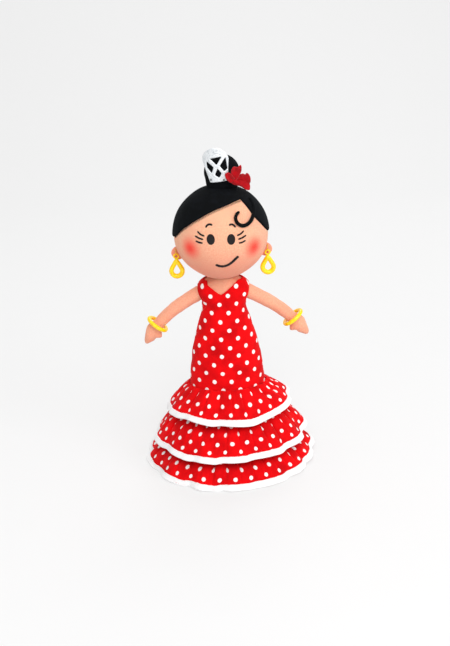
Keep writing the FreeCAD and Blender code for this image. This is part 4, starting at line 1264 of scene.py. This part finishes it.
class Ruffle:
    """A gathered strip: its surface by angle and by the share of the way to its hem."""

    def __init__(self, tier):
        self.tier = tier
        (self.seam, self.hem, self.radius, self.tilt, self.gathers, self.waves,
         self.seed) = RUFFLES[tier]
        height = np.array([self.seam])
        wide, deep = body_size(height) if tier == "top" else cone_size(height)
        self.wide, self.deep = wide[0] + 1.2, deep[0] + 1.2
        fall, spread = self.seam - self.hem, self.radius - self.wide
        self.length = math.hypot(fall, spread) * 1.03
        self.angle = math.pi / 2 + np.linspace(0, FULL, RUFFLE_COLUMNS, endpoint=False)

    def phase(self, angle):
        return self.gathers * angle + 1.5 * wander(angle, self.seed, ((2, 0.6), (3, 0.5), (5, 0.4)))

    def rings(self, shares):
        """Points of the strip at each share of the way from its seam to its hem."""
        s = np.asarray(shares, float)[:, None]
        angle = self.angle[None]
        flare = s + 0.10 * np.sin(np.clip(s, 0, 1) * math.pi)
        wide = self.wide + (self.radius - self.wide) * flare
        deep = self.deep + (self.radius - self.deep) * flare
        height = self.seam + (self.hem - self.seam) * s**1.04
        height = height + np.sin(math.radians(self.tilt)) * s * self.radius * np.cos(angle)
        lift, spread = self.hem_lift(angle)
        height = height + lift * s**1.5
        phase = self.phase(angle)
        ridge = 2 * np.abs(np.cos(phase / 2)) ** 0.75 - 1.15
        size = 0.55 + 0.45 * np.sin(angle * 7 + self.seed) * np.sin(angle * 3 + 1)
        gather = 0.95 * np.exp(-((s - 0.14) / 0.34) ** 2) * ridge * (0.5 + size)
        turn = self.waves * angle + 1.3 * wander(angle, self.seed + 1, ((1, 0.8), (2, 0.7), (4, 0.4)))
        soft = 0.9 * np.arcsin(0.95 * np.sin(turn)) + 0.34 * np.sin(2 * turn + 1)
        uneven = 0.75 + 0.4 * wander(angle, self.seed + 4, ((2, 0.7), (5, 0.5)))
        wave = 1.6 * s**1.25 * soft * uneven
        crease = -2.2 * np.exp(-((s - 0.38) / 0.34) ** 2) * np.maximum(-ridge, 0) * size
        out = gather + wave + crease
        drop = 0.75 * s * np.sin(turn + 0.9) * uneven
        out = out + spread * s
        x = (wide + out) * np.cos(angle)
        y = (deep + out) * np.sin(angle)
        z = np.maximum(height + drop, 1.0 + 0.3 * np.sin(turn))
        return np.stack([x, y, z], -1)

    def hem_lift(self, angle):
        """How much higher and wider the hem hangs than its ring, round the skirt."""
        stations = np.array(HEM_LIFT[self.tier], float)
        around = np.degrees(np.arctan2(np.cos(angle), -np.sin(angle)))
        return [smooth_curve(stations[:, (0, column)], around) for column in (1, 2)]

    def cloth(self, shares):
        """The strip's own map: its gathered length swallows cloth in the folds."""
        s = np.asarray(shares, float)[:, None]
        angle = math.pi / 2 + np.linspace(0, FULL, RUFFLE_COLUMNS + 1)[None]
        flat = FULL * self.radius * 1.03
        seam_run = math.pi * (self.wide + self.deep)
        ratio = flat / (seam_run + (flat - seam_run) * s)
        hidden = np.clip(1 - 1 / ratio, 0, 0.6)
        along = flat / FULL * (angle - hidden * np.sin(self.phase(angle)) / self.gathers)
        return np.stack(np.broadcast_arrays(along, (1 - s) * self.length), -1)

    def flat_size(self):
        return FULL * self.radius * 1.03 * MM, self.length * MM


def make_ruffle(tier, material):
    ruffle = Ruffle(tier)
    bound = 1 - RIBBON / ruffle.length
    shares = np.concatenate([np.linspace(0, bound, 34), [bound + 0.3 * (1 - bound), 0.985]])
    points = ruffle.rings(shares)[::-1]
    cloth = ruffle.cloth(shares)[::-1]
    piece = add_mesh(f"ruffle_{tier}_cotton", grid(points, cloth, wrap=True), material)
    return ruffle, thicken(piece, 0.6, 0.0)


def make_ribbon(ruffle, material):
    """The ribbon folded over a ruffle's hem, following its waves."""
    bound = 1 - RIBBON / ruffle.length
    steps = 7
    shares = np.linspace(bound, 1, steps)
    rings = ruffle.rings(shares[::-1])
    out = normals(rings)
    edge = 0.12 * np.sin(ruffle.angle * 61) * np.sin(ruffle.angle * 17)
    rings[-1] = rings[-1] + edge[:, None] * np.array([0, 0, 1.0])
    puff = np.array([0.62, 0.72, 0.74, 0.74, 0.72, 0.66, 0.46])[:, None, None]
    outer = rings + out * puff
    inner = rings - out * puff
    low = rings[:1] - (rings[1:2] - rings[:1]) * 0.28
    tube = np.concatenate([low, outer, inner[::-1], low])
    cloth = ruffle.cloth(np.zeros(1))[0, :, 0]
    across = np.concatenate([[0], np.linspace(0.2, 5.4, steps), np.linspace(5.7, 10.9, steps), [11]])
    cloth = np.stack(np.broadcast_arrays(cloth[None], across[:, None]), -1)
    return closed(add_mesh(f"ribbon_{ruffle.tier}", grid(tube, cloth, wrap=True), material))


def hem_lines(ruffle, share, out):
    """A closed line on a ruffle, lifted out of it."""
    rings = ruffle.rings([share - 0.01, share, share + 0.01])[::-1]
    line = rings[1] + normals(rings)[1] * out
    return [np.concatenate([line, line[:1]])]


def make_underskirt(material):
    """The plain cone that carries the two lower ruffles."""
    heights = np.linspace(4.4, 57.0, 30)
    points = oval_rings(heights, cone_size(heights), 180, math.pi / 2)
    angle = np.arctan2(points[..., 1], points[..., 0])
    low = (57 - points[..., 2]) / 53
    out = 0.75 + 0.3 * low * np.sin(17 * angle + wander(angle, 6))
    points = points + normals(points) * out[..., None]
    piece = add_mesh("underskirt_cotton", grid(points, cloth_map(points), wrap=True), material)
    return thicken(piece, 0.5, -1.0)


# ---------------------------------------------------------------- arms

ARM_PROFILE = (  # distance along the arm, half width in its plane and half thickness
    (-5.6, 0.0, 0.0), (-5.0, 2.4, 2.4), (-3.4, 4.4, 4.4), (0.0, 5.55, 5.55), (6.0, 5.5, 5.5),
    (16.0, 5.3, 5.3), (28.0, 5.0, 5.0), (37.0, 4.7, 4.7), (41.5, 4.5, 4.4),
    (44.0, 5.0, 4.4), (47.0, 6.2, 4.6), (50.0, 6.2, 4.6), (53.5, 4.9, 4.1), (56.5, 3.4, 3.1),
    (58.8, 2.2, 2.0), (59.8, 1.2, 1.1), (60.3, 0.0, 0.0),
)


def arm_frame(sign):
    """The shoulder, and the arm's outward, upward and forward directions."""
    out = np.array([sign * math.cos(ARM_DROOP), 0, -math.sin(ARM_DROOP)])
    up = np.array([sign * math.sin(ARM_DROOP), 0, math.cos(ARM_DROOP)])
    return np.array([sign * SHOULDER[0], 0, SHOULDER[2]]), out, up


ARM_BOW = {"left": (3.3, 0.6), "right": (3.1, 3.4)}  # rise mid-arm, and droop of the hand


def arm_bend(side, at):
    """How far a stuffed arm stands above its straight line at places along it."""
    rise, droop = ARM_BOW[side]
    along = np.clip((at - 2) / 58, 0, 1)
    return rise * np.sin(along * math.pi) - droop * along**3


def make_arm(side, sign, material):
    """A stuffed arm with a mitten hand, its thumb a low bump on the lower side."""
    start, out, up = arm_frame(sign)
    profile = np.array(ARM_PROFILE)
    t = np.linspace(0, 1, 100)
    at = -5.6 + 65.9 * (0.5 - 0.5 * np.cos(t * math.pi)) ** 0.9
    wide = np.interp(at, profile[:, 0], profile[:, 1])
    thick = np.interp(at, profile[:, 0], profile[:, 2])
    ease = np.array([0.25, 0.5, 0.25])
    for _ in range(3):
        wide[1:-1] = np.convolve(wide, ease, "valid")
        thick[1:-1] = np.convolve(thick, ease, "valid")
    wide[0] = thick[0] = wide[-1] = thick[-1] = 0.02
    angle = np.linspace(0, FULL, 72, endpoint=False)
    bow = arm_bend(side, at)
    lumps = 1 + 0.018 * np.sin(at[:, None] * 0.42 + 2 * angle[None] + sign)
    lumps = lumps + 0.012 * np.sin(at[:, None] * 0.9 - angle[None] * 3) * (at[:, None] > 3)
    across = wide[:, None] * np.cos(angle)[None] * lumps
    deep = thick[:, None] * np.sin(angle)[None] * lumps
    low = np.clip(-np.cos(angle), 0, 1)[None] ** 2
    thumb = 2.4 * np.exp(-((at[:, None] - 46.8) / 2.4) ** 2) * low
    notch = -0.8 * np.exp(-((at[:, None] - 50.8) / 1.3) ** 2) * low
    across = across - thumb - notch
    points = (start + at[:, None, None] * out + (across + bow[:, None])[..., None] * up
              + deep[..., None] * np.array([0, 1.0, 0]) * -sign)
    run = np.linspace(0, FULL * 5, 73)
    cloth = np.stack(np.broadcast_arrays(run[None], at[:, None]), -1)
    return closed(add_mesh(f"arm_{side}_knit", capped(points, cloth), material))


BANGLE_REST, BANGLE_SLID = 42.3, 33.0  # along the arm, where it rests and well up the forearm
BANGLE_RADIUS = 7.8  # to the middle of its cord, which has two half sizes
BANGLE_CORD = (1.6, 1.55)
BANGLE_LEAN = 14  # degrees


def make_bangle(side, sign, material):
    """A moulded ring, very slightly out of round."""
    _, out, up = arm_frame(sign)
    bend = (arm_bend(side, BANGLE_REST) + arm_bend(side, BANGLE_SLID)) / 2
    middle = node_middle(f"bangle_{side}") + up * bend
    lean = math.radians(BANGLE_LEAN)
    axis = out * math.cos(lean) - up * math.sin(lean)
    level = up * math.cos(lean) + out * math.sin(lean)
    turn = np.linspace(0, FULL, 96, endpoint=False)
    radius = BANGLE_RADIUS + 0.05 * np.cos(2 * turn)
    path = (middle + radius[:, None] * (np.cos(turn)[:, None] * level
                                        + np.sin(turn)[:, None] * np.array([0, 1.0, 0])))
    shape = sweep(path, *BANGLE_CORD, axis, looped=True, sides=20)
    return closed(add_mesh(f"bangle_{side}_moulding", shape, material))


# ---------------------------------------------------------------- the doll, piece by piece

KNIT = skin_knit("skin_knit")
# painted light and shade on the face: lighter skin at the forehead, darker and rosier towards the
# chin
FACE_KNIT = skin_knit("face_knit", [(on_head(*spot), 12.5) for spot in CHEEKS],
                      rosy_tint_and_shade=(0.65, 0.0), fall=(160, 196))
EAR_FELT = felt("skin_felt", SKIN_DEEP, SKIN_ROSY)
RED_FELT = felt("red_felt", (0.52, 0.001, 0.006, 1), (0.27, 0.0, 0.003, 1), 0.12)
BLACK_FELT = felt("base_felt_black", (0.02, 0.02, 0.022, 1), (0.008, 0.008, 0.009, 1))
HAIR = velour()
DRESS_COTTON = dotted_cotton("dotted_cotton", (3.1, 138.6))
RIBBON_WHITE = ribbon()
LINING = plain_cotton()
COMB = silvered_comb()
YELLOW = moulded_plastic("yellow_plastic", (1.0, 0.74, 0.0, 1), (1.0, 0.60, 0.0, 1), 0.3)
BLACK_THREAD = thread("black_thread", (0.020, 0.014, 0.013, 1), (0.006, 0.005, 0.005, 1))
YELLOW_THREAD = thread("yellow_thread", (0.95, 0.65, 0.05, 1), (0.75, 0.42, 0.02, 1), 0.6)
WHITE_THREAD = thread("white_thread", (0.92, 0.92, 0.92, 1), (0.72, 0.70, 0.70, 1))
SKIN_THREAD = thread("skin_thread", (0.90, 0.55, 0.36, 1), (0.72, 0.38, 0.24, 1))


def place(piece, body, slot, *nodes):
    """Puts a piece on its body and hides the nodes that it stands for; slot is not used."""
    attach(piece, body)
    if nodes:
        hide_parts(*nodes)
    return piece


def head_pieces():
    head = place(make_head(FACE_KNIT), "head", "knit_skin", "head_cover", "head_filling")
    place(make_hair(HAIR), "head", "hair_velour", "hair_cap")
    bun = place(make_bun(HAIR), "head", "hair_velour", "bun_cover", "bun_filling")
    place(make_comb(COMB), "head", "comb_white", "hair_comb")
    place(make_comb_stitches(BLACK_THREAD), "head", "thread_black", "comb_stitches")
    for name, front, cup, outline in PETALS:
        petal = make_petal(name, front, cup, outline, RED_FELT)
        place(petal, "head", "felt_red", name)
    place(make_curl(HAIR), "head", "hair_velour", "forehead_curl")
    for number, (across, rise) in enumerate(EYES):
        place(make_eye(f"eye_{number}", across, rise, BLACK_THREAD), "head", "thread_black")
    strokes = [("brow", line, 1.5, 0.2) for line in BROWS]
    strokes += [("lash", line, 1.3, 0.22) for line in LASHES]
    strokes += [("mouth", MOUTH, 2.3, 0.06)]
    for number, (name, line, width, taper) in enumerate(strokes):
        stroke = make_stroke(f"{name}_{number}", line, width, BLACK_THREAD, taper)
        place(stroke, "head", "thread_black")
    hairline_stitches()


def hairline_stitches():
    """Small black whip stitches that hold the hair cloth to the face."""
    across = np.linspace(HAIRLINE[0][0] + 3, HAIRLINE[-1][0], 60)
    rise = hairline(across) - 0.9
    near = on_head(across, rise, np.full(60, 0.12))
    row = stitch_row("hairline_stitches", [near], BLACK_THREAD, 1.25, 1.6, 0.2, lean=1.57,
                     spread=0.5, seed=4)
    place(row, "head", "thread_black")
    fuzz = stitch_row("hairline_fuzz", [on_head(across, rise + 0.5, np.full(60, 0.1))],
                      BLACK_THREAD, 0.6, 1.3, 0.09, lean=1.57, spread=1.1, seed=9)
    place(fuzz, "head", "thread_black")


def side_pieces():
    for side, sign in SIDES:
        ear = make_ear(f"ear_{side}", sign, EAR_FELT)
        place(ear, "head", "felt_skin", f"ear_{side}")
        loop = make_loop(f"earring_thread_{side}", YELLOW_THREAD)
        place(loop, f"earring_loop_{side}", "thread_yellow", f"earring_thread_{side}")
        drop = make_earring(f"earring_{side}", YELLOW)
        place(drop, f"earring_{side}", "plastic_yellow", f"earring_{side}")
        arm = make_arm(side, sign, KNIT)
        place(arm, f"arm_{side}", "knit_skin", f"arm_cover_{side}", f"arm_filling_{side}")
        bangle = make_bangle(side, sign, YELLOW)
        place(bangle, f"bangle_{side}", "plastic_yellow", f"bangle_{side}")


def torso_pieces():
    body = place(make_body(KNIT), "torso", "knit_skin", "body_cover", "body_filling")
    for panel, node in zip(make_dress(DRESS_COTTON), ("dress_front", "dress_back")):
        place(panel, "torso", "cotton_red", node)
    under = place(make_underskirt(LINING), "torso", "cotton_red", "underskirt")
    for tier in RUFFLES:
        ruffle, cloth = make_ruffle(tier, DRESS_COTTON)
        place(cloth, "torso", "cotton_red", f"ruffle_{tier}")
        band = place(make_ribbon(ruffle, RIBBON_WHITE), "torso", "ribbon_white", f"trim_{tier}")
        bound = 1 - (RIBBON - 0.9) / ruffle.length
        row = stitch_row(f"ribbon_stitches_{tier}", hem_lines(ruffle, bound, 0.76),
                         WHITE_THREAD, 2.2, 1.5, 0.13, seed=3)
        place(row, "torso", "ribbon_white")
        ruffle.flat_size()


def frame_pieces():
    """Finishes for the frame's own nodes that stay."""
    finishes = {"base_felt": BLACK_FELT, "base_disc": card(), "neck_dowel": turned_wood()}
    wire = drawn_wire()
    for side, _ in SIDES:
        finishes[f"shoulder_knot_{side}"] = SKIN_THREAD
        finishes[f"arm_wire_{side}"] = wire
    for node, material in finishes.items():
        for slot in frame["nodes"][node].material_slots:
            slot.material = material


head_pieces()
side_pieces()
torso_pieces()
frame_pieces()

# ---------------------------------------------------------------- studio


def studio_paper():
    """Matt paper that gives off some light of its own, so the backdrop stays even."""
    finish = Finish("studio_paper", Specular_IOR_Level=0.02, Emission_Strength=1.0)
    fibre = finish.noise(finish.place(), 30, 4)
    return finish.out(Base_Color=finish.mix(fibre * 0.2, (0.36, 0.36, 0.36, 1),
                                            (0.34, 0.34, 0.34, 1)),
                      Emission_Color=finish.mix(fibre * 0.1, (0.52, 0.52, 0.52, 1),
                                                (0.50, 0.50, 0.50, 1)),
                      Roughness=0.95 + fibre * 0.05)


def make_floor():
    """A pale floor that curves up behind into a wall."""
    turn = np.linspace(0, math.pi / 2, 20)
    depth = np.concatenate([[-1800.0], 900 + 600 * np.sin(turn), [1500.0]])
    height = np.concatenate([[0.0], 600 - 600 * np.cos(turn), [2600.0]])
    across = np.array([-3000.0, 3000.0])
    points = np.stack([np.broadcast_to(across[None], (len(depth), 2)),
                       np.broadcast_to(depth[:, None], (len(depth), 2)),
                       np.broadcast_to(height[:, None], (len(depth), 2))], -1)
    cloth = points[..., :2]
    floor = add_mesh("studio_floor", grid(points, cloth), studio_paper())


def add_light(name, place_m, target, size, power):
    lamp = bpy.data.lights.new(name, "AREA")
    lamp.shape = "DISK"
    lamp.size = size
    lamp.energy = power
    light = bpy.data.objects.new(name, lamp)
    light.location = place_m
    aim = Vector(target) - Vector(place_m)
    light.rotation_euler = aim.to_track_quat("-Z", "Y").to_euler()
    bpy.context.scene.collection.objects.link(light)


def make_world(strength):
    world = bpy.data.worlds.new("studio")
    world.use_nodes = True
    background = world.node_tree.nodes["Background"]
    background.inputs["Color"].default_value = (1, 1, 1, 1)
    background.inputs["Strength"].default_value = strength
    bpy.context.scene.world = world


def add_camera():
    """The camera: 20 degrees above, 788 mm from the doll's middle, rolled 2.6 degrees."""
    data = bpy.data.cameras.new("camera")
    data.sensor_fit = "VERTICAL"
    data.sensor_height = 36.0
    data.lens = 55.94
    data.clip_start, data.clip_end = 0.05, 20.0
    camera = bpy.data.objects.new("camera", data)
    lift, roll = math.radians(20), math.radians(-2.6)
    ahead = Vector((0, math.cos(lift), -math.sin(lift)))
    up = Vector((0, math.sin(lift), math.cos(lift)))
    side = Vector((1, 0, 0))
    right = math.cos(roll) * side + math.sin(roll) * up
    above = math.cos(roll) * up - math.sin(roll) * side
    turn = Matrix((right, above, -ahead)).transposed()
    camera.matrix_world = Matrix.Translation(Vector((0, 0, 0.112)) - 0.788 * ahead) @ turn.to_4x4()
    bpy.context.scene.collection.objects.link(camera)
    bpy.context.scene.camera = camera


make_floor()
make_world(0.62)
add_light("key", (0.1, -1.0, 1.1), (0, 0, 0.12), 0.9, 10.0)
add_light("fill", (1.0, -0.8, 0.75), (0, 0, 0.14), 0.9, 6.5)
add_light("back", (0.2, 0.9, 1.1), (0, 0, 0.12), 0.8, 4.0)
add_camera()
bpy.context.scene.view_settings.view_transform = "Standard"
bpy.context.scene.view_settings.look = "None"
